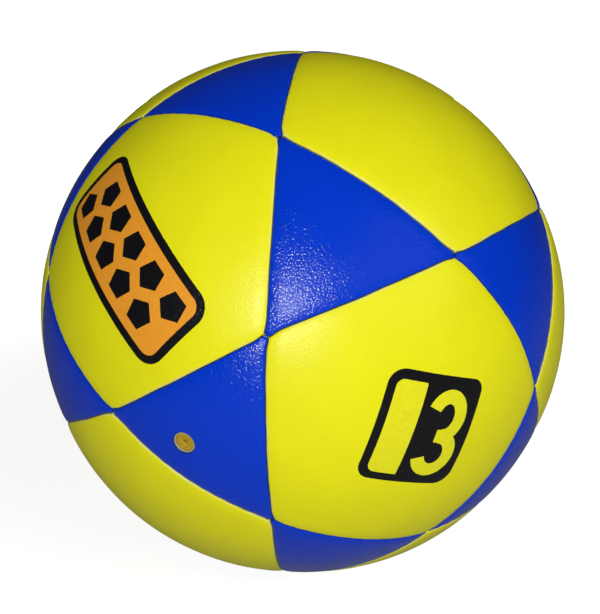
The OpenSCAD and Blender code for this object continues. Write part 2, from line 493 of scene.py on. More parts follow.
def turns(point: Sequence[float]) -> list[Vector]:
    """Give the three cyclic turns of a point, each of length one."""
    x, y, z = point
    return [Vector(p).normalized() for p in ((x, y, z), (z, x, y), (y, z, x))]


PENTAGON_AXES = [d for s in SIGNS for t in SIGNS for d in turns((s, 0, t * PHI))]
TRIANGLE_AXES = [
    *(Vector((x, y, z)).normalized() for x in SIGNS for y in SIGNS for z in SIGNS),
    *(d for s in SIGNS for t in SIGNS for d in turns((s / PHI, t * PHI, 0))),
]
CROSSINGS = [
    *(d for s in SIGNS for d in turns((s, 0, 0))),
    *(d for s in SIGNS for t in SIGNS for u in SIGNS for d in turns((s, t * PHI, u / PHI))),
]
# A small step that picks one of several crossings at the same distance
TIE_BREAK = Vector((1e-3, 2e-3, 3e-3))


def nearest(directions: Sequence[Vector], aim: Vector) -> Vector:
    """Pick the direction that lies closest to an aim."""
    return max(directions, key=aim.dot)


def node_axis(node: str, directions: Sequence[Vector]) -> Vector:
    """Pick the direction that a CAD panel faces, from the middle of its box."""
    low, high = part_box(node)
    return nearest(directions, (low + high).normalized())


def valve_axis() -> Vector:
    """Read the valve's direction from the plug's joint in the record."""
    joint = next(j for j in frame["record"]["behaviour"]["joints"] if j["child"] == Body.PLUG.value)
    return Vector(joint["axis"]).normalized()


def add_object(name: str, mesh: bpy.types.Mesh) -> bpy.types.Object:
    """Put a mesh into the scene as an object at the origin.

    Args:
        name: the object's name.
        mesh: its mesh.

    Returns:
        The new object.
    """
    obj = bpy.data.objects.new(name, mesh)
    bpy.context.scene.collection.objects.link(obj)
    return obj


def settle(obj: bpy.types.Object) -> None:
    """Turn an object with node modifiers into a plain mesh.

    Args:
        obj: the object, whose modifiers are applied and removed.
    """
    graph = bpy.context.evaluated_depsgraph_get()
    mesh = bpy.data.meshes.new_from_object(obj.evaluated_get(graph), preserve_all_data_layers=True,
                                           depsgraph=graph)
    mesh.name = obj.name
    obj.modifiers.clear()
    obj.data = mesh


def smooth(mesh: bpy.types.Mesh, angle: float) -> None:
    """Shade a mesh smoothly, but keep edges that turn more than an angle in degrees."""
    mesh.shade_smooth()
    mesh.set_sharp_from_angle(angle=math.radians(angle))


def mount(obj: bpy.types.Object, body: Body, slot: Slot, *nodes: str) -> None:
    """Tie a piece to its body and CAD nodes, and report it.

    Args:
        obj: the finished piece.
        body: the body that it moves with.
        slot: the record's material slot; not used.
        nodes: the CAD nodes that it stands for.
    """
    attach(obj, body.value)
    if nodes:
        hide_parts(*nodes)
    LOG.info("%s: %d faces on %s", obj.name, len(obj.data.polygons), body.value)


@dataclass
class NodeForm:
    """A Geometry Nodes tree with named inputs."""

    name: str
    tree: bpy.types.NodeTree = field(init=False)
    wiring: Wiring = field(init=False)

    def __post_init__(self) -> None:
        """Make the empty tree with its geometry sockets."""
        self.tree = bpy.data.node_groups.new(self.name, "GeometryNodeTree")
        self.wiring = Wiring(self.tree)
        self.tree.interface.new_socket("Geometry", in_out="INPUT", socket_type="NodeSocketGeometry")
        self.tree.interface.new_socket("Geometry", in_out="OUTPUT", socket_type="NodeSocketGeometry")

    def inputs(self, **kinds: str) -> None:
        """Add the tree's named inputs and the node that gives them.

        Args:
            kinds: the socket kind of each input, by the input's name.
        """
        for name, kind in kinds.items():
            self.tree.interface.new_socket(name, in_out="INPUT", socket_type=f"NodeSocket{kind}")
        self.wiring.add("in", "NodeGroupInput")

    def close(self, shape: str) -> None:
        """End the tree in Realize Instances and Set Material.

        Args:
            shape: the output that holds the finished geometry.
        """
        add = self.wiring.add
        add("realised", "GeometryNodeRealizeInstances", {0: shape})
        add("dressed", "GeometryNodeSetMaterial", {"Geometry": "realised", "Material": "in/material"})
        add("out", "NodeGroupOutput", {0: "dressed"})

    def put_on(self, obj: bpy.types.Object, **values: object) -> None:
        """Add the tree to an object as a modifier.

        Args:
            obj: the object that the tree shapes.
            values: a value for each named input.
        """
        modifier = obj.modifiers.new(self.name, "NODES")
        modifier.node_group = self.tree
        sockets = {s.name: s.identifier for s in self.tree.interface.items_tree if s.in_out == "INPUT"}
        for name, value in values.items():
            modifier[sockets[name]] = value


@dataclass(frozen=True)
class CoverSizes:
    """Sizes of the sewn cover, in millimetres."""

    seam_radius: float = 93.694
    swell_shift: float = 5.0
    seam_gap: float = 0.07
    fold_width: float = 0.85
    fold_depth: float = 0.55
    roll_width: float = 3.6
    roll_depth: float = 0.3
    roll_power: float = 1.5
    roll_blend: float = 2.0
    stitch_pitch: float = 4.6
    stitch_pull: float = 0.07
    stitch_reach: float = 3.0
    wave_height: float = 0.05
    wave_length: float = 16.0
    wobble: float = 0.3
    wobble_length: float = 8.0
    skin_radius: float = 92.04
    turn_in_radius: float = 89.3
    turn_in_width: float = 1.3
    hole_radius: float = 3.3
    hole_lip: float = 0.2
    hole_dish: float = 0.03
    hole_dish_reach: float = 5.5


SIZES = CoverSizes()
# The sizes that the sewn panel's tree takes as its inputs
FORM_SIZES = ("swell_shift", "fold_width", "fold_depth", "roll_width", "roll_depth", "stitch_pitch",
              "stitch_pull", "stitch_reach", "hole_lip", "hole_dish", "hole_dish_reach", "wave_height",
              "wave_length", "wobble", "wobble_length")


@dataclass
class PanelPattern:
    """Flat pattern of one panel kind, laid on the sphere.

    A panel is divided into one four-sided patch for each corner. Rows of a patch run
    along its two seams, close together at the folds. The pattern is a closed shell:
    the outer skin, the edges turned in between the panels, and the skin's back.

    Attributes:
        sides: kind of the panel, which is its number of seams.
        reach: angle from the panel's middle to a corner.
        hole: direction of the valve hole in the panel's own axes, where it has one.
        hole_radius: radius of that hole, in millimetres.
        calm_reach: distance from that hole where the panel's unevenness is full again.
    """

    sides: Shape
    reach: float
    hole: Optional[Vector] = None
    hole_radius: float = SIZES.hole_radius
    fold_rows: tuple[float, ...] = (0, 0.05, 0.14, 0.27, 0.44, 0.64, 0.88, 1.16, 1.5, 1.9, 2.35, 2.8, 3.2,
                                    3.6, 4.05, 4.6, 5.3)
    field_rows: int = 28
    back_step: int = 4
    hole_rings: tuple[float, ...] = (0, 0.05, 0.16, 0.32, 0.55, 0.9, 1.4, 2.0, 2.6)
    hole_steps: int = 72
    face_margin: float = 0.5
    back_margin: float = 2.5
    pad_margin: float = 2.0
    calm_reach: float = 8.0
    rim_angle: float = 50.0
    rim_segments: int = 3
    bm: bmesh.types.BMesh = field(init=False)
    known: dict[tuple[int, int, Layer], bmesh.types.BMVert] = field(init=False, default_factory=dict)
    back: set[bmesh.types.BMVert] = field(init=False, default_factory=set)

    @property
    def last_row(self) -> int:
        """Number of the last row, at the panel's middle."""
        return len(self.fold_rows) - 1 + self.field_rows

    def inset_radius(self, inset: float) -> float:
        """Distance from the middle to a seam on the flat pattern, for a sphere of radius one."""
        return math.tan(self.reach) * math.cos(math.pi / self.sides) - inset / SIZES.seam_radius

    def row(self, index: int, end: float) -> float:
        """Distance of a row from its seam on the flat pattern.

        Args:
            index: number of the row.
            end: distance of the last row.

        Returns:
            The distance, for a sphere of radius one.
        """
        last = len(self.fold_rows) - 1
        if index <= last:
            return self.fold_rows[index] / SIZES.seam_radius
        start = self.fold_rows[-1] / SIZES.seam_radius
        return start + (end - start) * (index - last) / self.field_rows

    def patch_point(self, corner: int, i: int, j: int, inset: float) -> Point:
        """Place one grid point of a corner's patch on the flat pattern.

        Args:
            corner: number of the corner.
            i: row counted from the seam before the corner.
            j: row counted from the seam after the corner.
            inset: how far the pattern's outline lies inside the seams, in millimetres.

        Returns:
            The point on the plane that touches a sphere of radius one.
        """
        inner = self.inset_radius(inset)
        half = math.pi / self.sides
        side = inner * math.tan(half) * math.sin(2 * half)
        after_end = side + (inner - side) * self.row(i, inner) / inner
        before_end = side + (inner - side) * self.row(j, inner) / inner
        after, before = inner - self.row(j, after_end), inner - self.row(i, before_end)
        angle_after, angle_before = half * (2 * corner + 1), half * (2 * corner - 1)
        cross = math.sin(angle_before - angle_after)
        return ((after * math.sin(angle_before) - before * math.sin(angle_after)) / cross,
                (before * math.cos(angle_after) - after * math.cos(angle_before)) / cross)

    def vertex(self, point: Point, radius: float, layer: Layer) -> bmesh.types.BMVert:
        """Give the vertex over a pattern point, and make it the first time.

        Args:
            point: the point on the flat pattern.
            radius: its distance from the middle of the ball, in millimetres.
            layer: layer of the vertex.

        Returns:
            The vertex.
        """
        key = (round(point[0] * PATTERN_DIGITS), round(point[1] * PATTERN_DIGITS), layer)
        if key not in self.known:
            direction = Vector((*point, 1)).normalized()
            self.known[key] = self.bm.verts.new(direction * radius * MM)
            if layer is not Layer.FACE:
                self.back.add(self.known[key])
        return self.known[key]

    def grid(self, corner: int, step: int, inset: float, radius: float, layer: Layer) -> None:
        """Fill one corner's patch with four-sided faces.

        Args:
            corner: number of the corner.
            step: every how many rows the grid uses.
            inset: inset of the outline, in millimetres.
            radius: distance from the middle of the ball, in millimetres.
            layer: layer of the vertices.
        """
        rows = range(0, self.last_row + 1, step)
        points = {(i, j): self.vertex(self.patch_point(corner, i, j, inset), radius, layer)
                  for i in rows for j in rows}
        for i in rows[:-1]:
            for j in rows[:-1]:
                self.bm.faces.new((points[i, j], points[i + step, j], points[i + step, j + step],
                                   points[i, j + step]))

    def edge(self, corner: int, before: bool, rows: Sequence[int], inset: float, radius: float,
             layer: Layer) -> list[bmesh.types.BMVert]:
        """Give the vertices on the edge of one corner's patch, along one of its two seams.

        Args:
            corner: number of the corner.
            before: whether the edge follows the seam before the corner, and not the one after it.
            rows: the rows that it crosses.
            inset: how far the edge lies inside the seam, in millimetres.
            radius: its distance from the middle of the ball, in millimetres.
            layer: layer of the vertices.

        Returns:
            One vertex for each row.
        """
        places = [(0, row) if before else (row, 0) for row in rows]
        return [self.vertex(self.patch_point(corner, i, j, inset), radius, layer) for i, j in places]

    def turn_in(self, corner: int) -> None:
        """Close the edges of one corner's patch: the turned-in skin, its end and its inner side.

        Args:
            corner: number of the corner.
        """
        gap, width, step = SIZES.seam_gap, SIZES.turn_in_width, self.back_step
        for before in (False, True):
            for k in range(0, self.last_row, step):
                ends, every = (k, k + step), range(k, k + step + 1)
                fold = self.edge(corner, before, every, gap, SIZES.seam_radius, Layer.FACE)
                low = self.edge(corner, before, ends, gap, SIZES.turn_in_radius, Layer.STRIP)
                inner = self.edge(corner, before, ends, width, SIZES.turn_in_radius, Layer.STRIP_BACK)
                skin = self.edge(corner, before, ends, width, SIZES.skin_radius, Layer.BACK)
                for face in ([*fold, *reversed(low)], [*low, *reversed(inner)], [*inner, *reversed(skin)]):
                    self.bm.faces.new(face)

    def ring(self, distance: float, radius: float, layer: Layer) -> list[bmesh.types.BMVert]:
        """Make one ring of vertices round the valve hole.

        Args:
            distance: the ring's radius, in millimetres.
            radius: distance from the middle of the ball, in millimetres.
            layer: layer of the vertices.

        Returns:
            The vertices in order.
        """
        side = self.hole.orthogonal().normalized()
        up = self.hole.cross(side)
        bend = distance / SIZES.seam_radius
        made = []
        for k in range(self.hole_steps):
            a = 2 * math.pi * k / self.hole_steps
            d = self.hole * math.cos(bend) + (side * math.cos(a) + up * math.sin(a)) * math.sin(bend)
            made.append(self.vertex((d.x / d.z, d.y / d.z), radius, layer))
        return made

    def cut_hole(self, rings: Sequence[float], margin: float, radius: float,
                 layer: Layer) -> list[bmesh.types.BMVert]:
        """Cut the valve hole into one layer and fill round it with even rings.

        Args:
            rings: distances of the rings from the hole's edge, in millimetres.
            margin: how far the layer's own grid is cleared beyond the last ring, in millimetres.
            radius: distance of the layer from the middle of the ball, in millimetres.
            layer: layer of the vertices.

        Returns:
            The vertices of the hole's edge.
        """
        clear = math.cos((self.hole_radius + rings[-1] + margin) / SIZES.seam_radius)
        chosen = [v for (_, _, level), v in self.known.items()
                  if level is layer and v.co.normalized().dot(self.hole) > clear]
        faces = dict.fromkeys(f for v in chosen for f in v.link_faces)
        rim = [e for f in faces for e in f.edges if sum(g in faces for g in e.link_faces) == 1]
        bmesh.ops.delete(self.bm, geom=list(faces), context="FACES_ONLY")
        loops = [self.ring(self.hole_radius + r, radius, layer) for r in rings]
        for a, b in zip(loops, loops[1:]):
            for k in range(self.hole_steps):
                n = (k + 1) % self.hole_steps
                self.bm.faces.new((a[k], a[n], b[n], b[k]))
        edge = [(loops[-1][k], loops[-1][(k + 1) % self.hole_steps]) for k in range(self.hole_steps)]
        edge += [tuple(e.verts) for e in rim]
        verts = list(dict.fromkeys(v for pair in edge for v in pair))
        number = {v: k for k, v in enumerate(verts)}
        flat = [Vector((v.co.x / v.co.z, v.co.y / v.co.z)) for v in verts]
        pairs = [(number[a], number[b]) for a, b in edge]
        _, _, triangles, origin, _, _ = delaunay_2d_cdt(flat, pairs, [], KEEP_INSIDE, PATTERN_MERGE)
        inside = math.cos((self.hole_radius + rings[-1]) / SIZES.seam_radius)
        for triangle in triangles:
            corners = [verts[origin[k][0]] for k in triangle]
            middle = sum((v.co for v in corners), Vector()).normalized()
            if middle.dot(self.hole) < inside:
                self.bm.faces.new(corners)
        for v in chosen:
            if not v.link_faces:
                self.bm.verts.remove(v)
        return loops[0]

    def measure(self, mesh: bpy.types.Mesh, hidden: list[bool]) -> None:
        """Store what the panel's form and finish read: distances to the seams and the hole.

        Args:
            mesh: the finished pattern.
            hidden: for each vertex, whether it lies behind the outer skin.
        """
        radius = SIZES.seam_radius * MM
        inner = self.inset_radius(0)
        seams = []
        for k in range(self.sides):
            angle = math.pi / self.sides * (2 * k + 1)
            out = Vector((math.cos(angle), math.sin(angle), 0))
            middle = (out * inner + Vector((0, 0, 1))).normalized()
            along = Vector((-out.y, out.x, 0))
            seams.append((middle.cross(along), middle, along))
        columns: dict[str, list[float]] = {name: [] for name in (
            "seam", "seam_1", "seam_2", "run_1", "run_2", "hole", "calm", "back")}
        for vertex, back in zip(mesh.vertices, hidden):
            d = vertex.co.normalized()
            found = sorted((radius * abs(math.asin(max(-1, min(1, d.dot(n))))),
                            radius * abs(math.atan2(d.dot(t), d.dot(m)))) for n, m, t in seams)
            hole = radius * d.angle(self.hole) - self.hole_radius * MM if self.hole else NO_HOLE
            (near, run), (far, far_run) = found[:2]
            calm = max(0.0, min(1.0, hole / (self.calm_reach * MM)))
            values = (min(near, hole), near, far, run, far_run, hole, calm, float(back))
            for column, value in zip(columns.values(), values):
                column.append(value)
        for name, column in columns.items():
            mesh.attributes.new(name, "FLOAT", "POINT").data.foreach_set("value", column)

    def finish(self) -> bpy.types.Mesh:
        """Turn the built faces into a mesh with its measures.

        Returns:
            The mesh, with the panel's middle on +Z and its first corner towards +X.
        """
        bmesh.ops.recalc_face_normals(self.bm, faces=self.bm.faces)
        hidden = [v in self.back for v in self.bm.verts]
        mesh = bpy.data.meshes.new("panel_pattern")
        self.bm.to_mesh(mesh)
        self.bm.free()
        self.measure(mesh, hidden)
        return mesh

    def slab(self, inset: float, radii: Point, rounding: float) -> bpy.types.Mesh:
        """Build a closed pad of even thickness that ends short of the seams.

        Args:
            inset: distance of the pad's edge from the seams, in millimetres.
            radii: its outer and inner distance from the middle of the ball, in millimetres.
            rounding: width of its rounded edges, in millimetres.

        Returns:
            The pad's mesh, placed as a panel's pattern is.
        """
        self.bm = bmesh.new()
        for layer, radius in zip((Layer.FACE, Layer.BACK), radii):
            for corner in range(self.sides):
                self.grid(corner, 1, inset, radius, layer)
            if self.hole:
                self.cut_hole(self.hole_rings, self.pad_margin, radius, layer)
        keys = {v: k for k, v in self.known.items() if v.is_valid}
        for edge in [e for e in self.bm.edges if len(e.link_faces) == 1]:
            if keys[edge.verts[0]][2] is Layer.FACE:
                start, end = edge.verts
                below = [self.known[(*keys[v][:2], Layer.BACK)] for v in (end, start)]
                self.bm.faces.new((start, end, *below))
        bmesh.ops.recalc_face_normals(self.bm, faces=self.bm.faces)
        rims = [e for e in self.bm.edges if e.calc_face_angle(0.0) > math.radians(self.rim_angle)]
        bmesh.ops.bevel(self.bm, geom=rims, offset=rounding * MM, segments=self.rim_segments, profile=0.5,
                        affect="EDGES")
        return self.finish()

    def mesh(self) -> bpy.types.Mesh:
        """Build the pattern of a panel's skin as a closed mesh with its measures.

        Returns:
            The pattern, before it is formed.
        """
        self.bm = bmesh.new()
        for corner in range(self.sides):
            self.grid(corner, 1, SIZES.seam_gap, SIZES.seam_radius, Layer.FACE)
            self.grid(corner, self.back_step, SIZES.turn_in_width, SIZES.skin_radius, Layer.BACK)
            self.turn_in(corner)
        if self.hole:
            outer = self.cut_hole(self.hole_rings, self.face_margin, SIZES.seam_radius, Layer.FACE)
            inner = self.cut_hole((0,), self.back_margin, SIZES.skin_radius, Layer.BACK)
            for k in range(self.hole_steps):
                n = (k + 1) % self.hole_steps
                self.bm.faces.new((outer[k], outer[n], inner[n], inner[k]))
        return self.finish()


def panel_form() -> NodeForm:
    """Build the tree that gives a flat pattern the form of a sewn, inflated panel.

    The skin swells from the seams to the middle, sinks a little beyond the foam pad's
    edge, rolls over at the folds, is drawn in at each stitch, and is faintly uneven.

    Returns:
        The tree with its named inputs.
    """
    form = NodeForm("sewn_panel")
    form.inputs(axis="Vector", swell_radius="Float", seed="Float", material="Material",
                **dict.fromkeys(FORM_SIZES, "Float"))
    add = form.wiring.add
    for name in ("seam_1", "seam_2", "run_1", "run_2", "hole", "calm", "back"):
        add(name, ATTRIBUTE, {"Name": name}, data_type="FLOAT")
    add("position", "GeometryNodeInputPosition")
    add("outwards", VECTOR, {0: "position"}, operation="NORMALIZE")
    add("rise", VECTOR, {0: "outwards", 1: "in/axis"}, operation="DOT_PRODUCT")
    add("lift", MATH, {0: "rise/Value", 1: "in/swell_shift"}, operation="MULTIPLY")
    add("lift_squared", MATH, {0: "lift", 1: "lift"}, operation="MULTIPLY")
    add("shift_squared", MATH, {0: "in/swell_shift", 1: "in/swell_shift"}, operation="MULTIPLY")
    add("radius_squared", MATH, {0: "in/swell_radius", 1: "in/swell_radius", 2: "lift_squared"},
        operation="MULTIPLY_ADD")
    add("swell_squared", MATH, {0: "radius_squared", 1: "shift_squared"}, operation="SUBTRACT")
    add("swell_root", MATH, {0: "swell_squared"}, operation="SQRT")
    add("swell", MATH, {0: "lift", 1: "swell_root"}, operation="ADD")

    for k in ("1", "2"):
        add(f"fold_{k}", RANGE, {"Value": f"seam_{k}", **limits((0.0, "in/fold_width"), FADE)})
        add(f"fold_square_{k}", MATH, {0: f"fold_{k}", 1: f"fold_{k}"}, operation="MULTIPLY")
        add(f"stitch_phase_{k}", MATH, {0: f"run_{k}", 1: "in/stitch_pitch"}, operation="DIVIDE")
        add(f"stitch_turn_{k}", MATH, {0: f"stitch_phase_{k}", 1: 2 * math.pi}, operation="MULTIPLY")
        add(f"stitch_wave_{k}", MATH, {0: f"stitch_turn_{k}"}, operation="COSINE")
        add(f"stitch_share_{k}", RANGE, {"Value": f"stitch_wave_{k}", **limits(BOTH_WAYS, SHARE)})
        fade = limits((0.0, "in/stitch_reach"), ("in/stitch_pull", 0.0))
        add(f"stitch_fade_{k}", RANGE, {"Value": f"seam_{k}", **fade}, interpolation_type="SMOOTHSTEP")
        add(f"stitch_{k}", MATH, {0: f"stitch_share_{k}", 1: f"stitch_fade_{k}"}, operation="MULTIPLY")
    add("folds", MATH, {0: "fold_square_1", 1: "fold_square_2"}, operation="ADD", use_clamp=True)
    add("fold_rest", MATH, {0: 1.0, 1: "folds"}, operation="SUBTRACT")
    add("fold_height", MATH, {0: "fold_rest"}, operation="SQRT")
    add("fold_share", MATH, {0: 1.0, 1: "fold_height"}, operation="SUBTRACT")
    add("fold", MATH, {0: "fold_share", 1: "in/fold_depth"}, operation="MULTIPLY")

    add("seam_near", MATH, {0: "seam_1", 1: "seam_2", 2: SIZES.roll_blend * MM}, operation="SMOOTH_MIN")
    add("roll_share", RANGE, {"Value": "seam_near", **limits((0.0, "in/roll_width"), FADE)})
    add("roll_curve", MATH, {0: "roll_share", 1: SIZES.roll_power}, operation="POWER")
    add("roll", MATH, {0: "roll_curve", 1: "in/roll_depth"}, operation="MULTIPLY")
    add("lip", RANGE, {"Value": "hole", **limits((0.0, "in/hole_lip"), FADE)})
    add("lip_square", MATH, {0: "lip", 1: "lip"}, operation="MULTIPLY")
    add("lip_rest", MATH, {0: 1.0, 1: "lip_square"}, operation="SUBTRACT")
    add("lip_height", MATH, {0: "lip_rest"}, operation="SQRT")
    add("lip_share", MATH, {0: 1.0, 1: "lip_height"}, operation="SUBTRACT")
    add("lip_drop", MATH, {0: "lip_share", 1: "in/hole_lip"}, operation="MULTIPLY")
    dish = limits((0.0, "in/hole_dish_reach"), ("in/hole_dish", 0.0))
    add("dish", RANGE, {"Value": "hole", **dish}, interpolation_type="SMOOTHSTEP")

    left = "swell"
    for drop in ("fold", "roll", "stitch_1", "stitch_2", "lip_drop", "dish"):
        add(f"less_{drop}", MATH, {0: left, 1: drop}, operation="SUBTRACT")
        left = f"less_{drop}"
    add("formed", VECTOR, {0: "outwards", "Scale": left}, operation="SCALE")
    add("front", MATH, {0: 1.0, 1: "back"}, operation="SUBTRACT")
    add("shaped", "GeometryNodeSetPosition", {"Geometry": "in/Geometry", "Selection": "front",
                                              "Position": "formed"})

    add("wave_scale", MATH, {0: 1.0, 1: "in/wave_length"}, operation="DIVIDE")
    add("wave", NOISE, {"Vector": "position", "W": "in/seed", "Scale": "wave_scale", "Detail": 1.0},
        noise_dimensions="4D")
    add("wave_share", RANGE, {"Value": "wave/Fac", **limits(SOFT_NOISE, BOTH_WAYS)})
    add("wave_height", MATH, {0: "wave_share", 1: "in/wave_height"}, operation="MULTIPLY")
    add("wave_step", VECTOR, {0: "outwards", "Scale": "wave_height"}, operation="SCALE")
    add("wobble_scale", MATH, {0: 1.0, 1: "in/wobble_length"}, operation="DIVIDE")
    add("wobble", NOISE, {"Vector": "position", "W": "in/seed", "Scale": "wobble_scale", "Detail": 0.0},
        noise_dimensions="4D")
    add("wobble_share", VECTOR, {0: "wobble/Color", 1: HALF}, operation="SUBTRACT")
    add("wobble_rise", VECTOR, {0: "wobble_share", 1: "outwards"}, operation="DOT_PRODUCT")
    add("wobble_out", VECTOR, {0: "outwards", "Scale": "wobble_rise/Value"}, operation="SCALE")
    add("wobble_flat", VECTOR, {0: "wobble_share", 1: "wobble_out"}, operation="SUBTRACT")
    add("wobble_step", VECTOR, {0: "wobble_flat", "Scale": "in/wobble"}, operation="SCALE")
    add("uneven", VECTOR, {0: "wave_step", 1: "wobble_step"}, operation="ADD")
    add("calmed", VECTOR, {0: "uneven", "Scale": "calm"}, operation="SCALE")
    add("worn", "GeometryNodeSetPosition", {"Geometry": "shaped", "Offset": "calmed"})
    form.close("worn")
    return form


@dataclass
class Cover:
    """The sewn cover: twelve pentagons, nineteen plain triangles and the valve panel.

    Attributes:
        panels: the finished panels, by their CAD nodes.
        tip_cut: how far a pentagon's corner is blunted, tip_turn and tip_reach how sharply and how far.
        drift_reach: how far round a crossing the cover follows its drift.
        drifts: crossings that were sewn out of place, with the way that each one drifted.
    """

    panels: dict[str, bpy.types.Object] = field(default_factory=dict)
    seed: float = 3.0
    sharp_angle: float = 50.0
    tip_cut: float = 0.7
    tip_turn: float = 0.08
    tip_reach: float = 2.6
    drift_reach: float = 20.0
    drifts: tuple[tuple[Sequence[float], Sequence[float]], ...] = (
        ((1, 0, 0), (0, -1.9, -0.8)),
        ((0, -1, 0), (1.7, 0, -0.1)),
        ((0.809, -0.309, 0.5), (0.4, 0.3, -0.5)),
        ((0.5, -0.809, 0.309), (-0.4, 0.2, 1.3)),
        ((0.5, -0.809, -0.309), (0.5, 0.3, 0)),
        ((0.309, -0.5, 0.809), (-1.0, 0.4, 0.6)),
        ((0.809, -0.309, -0.5), (-1.0, -1.0, -1.1)),
        ((-0.5, -0.809, 0.309), (0.4, -0.7, -1.3)),
        ((0.809, 0.309, 0.5), (-0.9, 3.8, -1.0)),
        ((0, 0, 1), (-0.8, 1.3, 0)),
    )

    @staticmethod
    def turn(axis: Vector) -> Matrix:
        """Give the rotation that carries +Z to a panel's axis and +X towards one of its corners.

        Args:
            axis: the direction that the panel faces.

        Returns:
            The rotation, always to the same one of the panel's corners.
        """
        corner = nearest(CROSSINGS, axis + TIE_BREAK)
        across = (corner - corner.dot(axis) * axis).normalized()
        return Matrix((across, axis.cross(across), axis)).transposed()

    @staticmethod
    def reach(axis: Vector) -> float:
        """Angle from a panel's middle to its corners."""
        return axis.angle(nearest(CROSSINGS, axis))

    def drift(self, mesh: bpy.types.Mesh) -> None:
        """Move a pattern's points to where the seams were really sewn.

        The crossings sit a little off their even places, and at each of them the pentagons'
        corners are blunt, so that the tips of two triangles touch.

        Args:
            mesh: the pattern, turned to its place on the ball.
        """
        flat = np.empty(len(mesh.vertices) * 3)
        calm = np.empty(len(mesh.vertices))
        mesh.vertices.foreach_get("co", flat)
        mesh.attributes["calm"].data.foreach_get("value", calm)
        points = flat.reshape(-1, 3)
        radii = np.linalg.norm(points, axis=1, keepdims=True)
        outwards = points / radii
        moved = outwards.copy()
        for place, step in self.drifts:
            away = np.arccos(np.clip(outwards @ Vector(place).normalized(), -1, 1)) * SIZES.seam_radius
            share = calm * np.exp(-(away / self.drift_reach) ** 2)
            moved += np.outer(share, step) / SIZES.seam_radius
        for crossing in CROSSINGS:
            pentagon = nearest(PENTAGON_AXES, crossing)
            side = np.array((pentagon - pentagon.dot(crossing) * crossing).normalized())
            away = np.arccos(np.clip(outwards @ crossing, -1, 1)) * SIZES.seam_radius
            cut = self.tip_cut * np.tanh(outwards @ side * SIZES.seam_radius / self.tip_turn)
            moved += np.outer(cut * np.exp(-(away / self.tip_reach) ** 2), side) / SIZES.seam_radius
        moved *= radii / np.linalg.norm(moved, axis=1, keepdims=True)
        mesh.vertices.foreach_set("co", moved.ravel())

    def build(self, yellow: bpy.types.Material, blue: bpy.types.Material) -> None:
        """Build every panel in place of its CAD node.

        Args:
            yellow: the pentagons' material.
            blue: the triangles' material.
        """
        form = panel_form()
        pentagon = PanelPattern(Shape.PENTAGON, self.reach(PENTAGON_AXES[0])).mesh()
        triangle = PanelPattern(Shape.TRIANGLE, self.reach(TRIANGLE_AXES[0])).mesh()
        valve_turn = self.turn(node_axis("valve_panel", TRIANGLE_AXES))
        hole = valve_turn.transposed() @ valve_axis()
        valve = PanelPattern(Shape.TRIANGLE, self.reach(TRIANGLE_AXES[0]), hole=hole).mesh()
        for node in frame["nodes"]:
            if node.startswith("pentagon_panel"):
                self.panel(form, node, pentagon, PENTAGON_AXES, yellow, Slot.YELLOW)
            elif node.startswith("triangle_panel"):
                self.panel(form, node, triangle, TRIANGLE_AXES, blue, Slot.BLUE)
        self.panel(form, "valve_panel", valve, TRIANGLE_AXES, blue, Slot.BLUE)
        for pattern in (pentagon, triangle, valve):
            bpy.data.meshes.remove(pattern)

    def panel(self, form: NodeForm, node: str, pattern: bpy.types.Mesh, axes: Sequence[Vector],
              material: bpy.types.Material, slot: Slot) -> None:
        """Form one panel from its pattern.

        Args:
            form: the tree of the sewn panel.
            node: the CAD node that the panel stands for.
            pattern: the flat pattern.
            axes: the directions that panels of this kind face.
            material: the panel's material.
            slot: the panel's material slot.
        """
        axis = node_axis(node, axes)
        mesh = pattern.copy()
        mesh.transform(self.turn(axis).to_4x4())
        self.drift(mesh)
        obj = add_object(f"{node}_skin", mesh)
        sides = Shape.PENTAGON if slot is Slot.YELLOW else Shape.TRIANGLE
        inner = math.atan(math.tan(self.reach(axis)) * math.cos(math.pi / sides))
        shift, seam = SIZES.swell_shift, SIZES.seam_radius
        swell = math.sqrt(seam ** 2 + shift ** 2 - 2 * seam * shift * math.cos(inner))
        sizes = {name: getattr(SIZES, name) * MM for name in FORM_SIZES}
        form.put_on(obj, axis=axis, swell_radius=swell * MM, seed=self.seed, material=material, **sizes)
        settle(obj)
        smooth(obj.data, self.sharp_angle)
        mount(obj, Body.BALL, slot, node)
        self.panels[node] = obj


def backing_form() -> NodeForm:
    """Build the tree that sets one cut layer behind each panel of its kind.

    Returns:
        The tree with its named inputs.
    """
    form = NodeForm("bonded_backing")
    form.inputs(cut="Object", material="Material")
    add = form.wiring.add
    add("layer", "GeometryNodeObjectInfo", {"Object": "in/cut"}, transform_space="ORIGINAL")
    add("turn", ATTRIBUTE, {"Name": "turn"}, data_type="FLOAT_VECTOR")
    add("turned", "FunctionNodeEulerToRotation", {0: "turn"})
    add("layers", "GeometryNodeInstanceOnPoints", {"Points": "in/Geometry", "Instance": "layer/Geometry",
                                                   "Rotation": "turned"})
    form.close("layers")
    return form


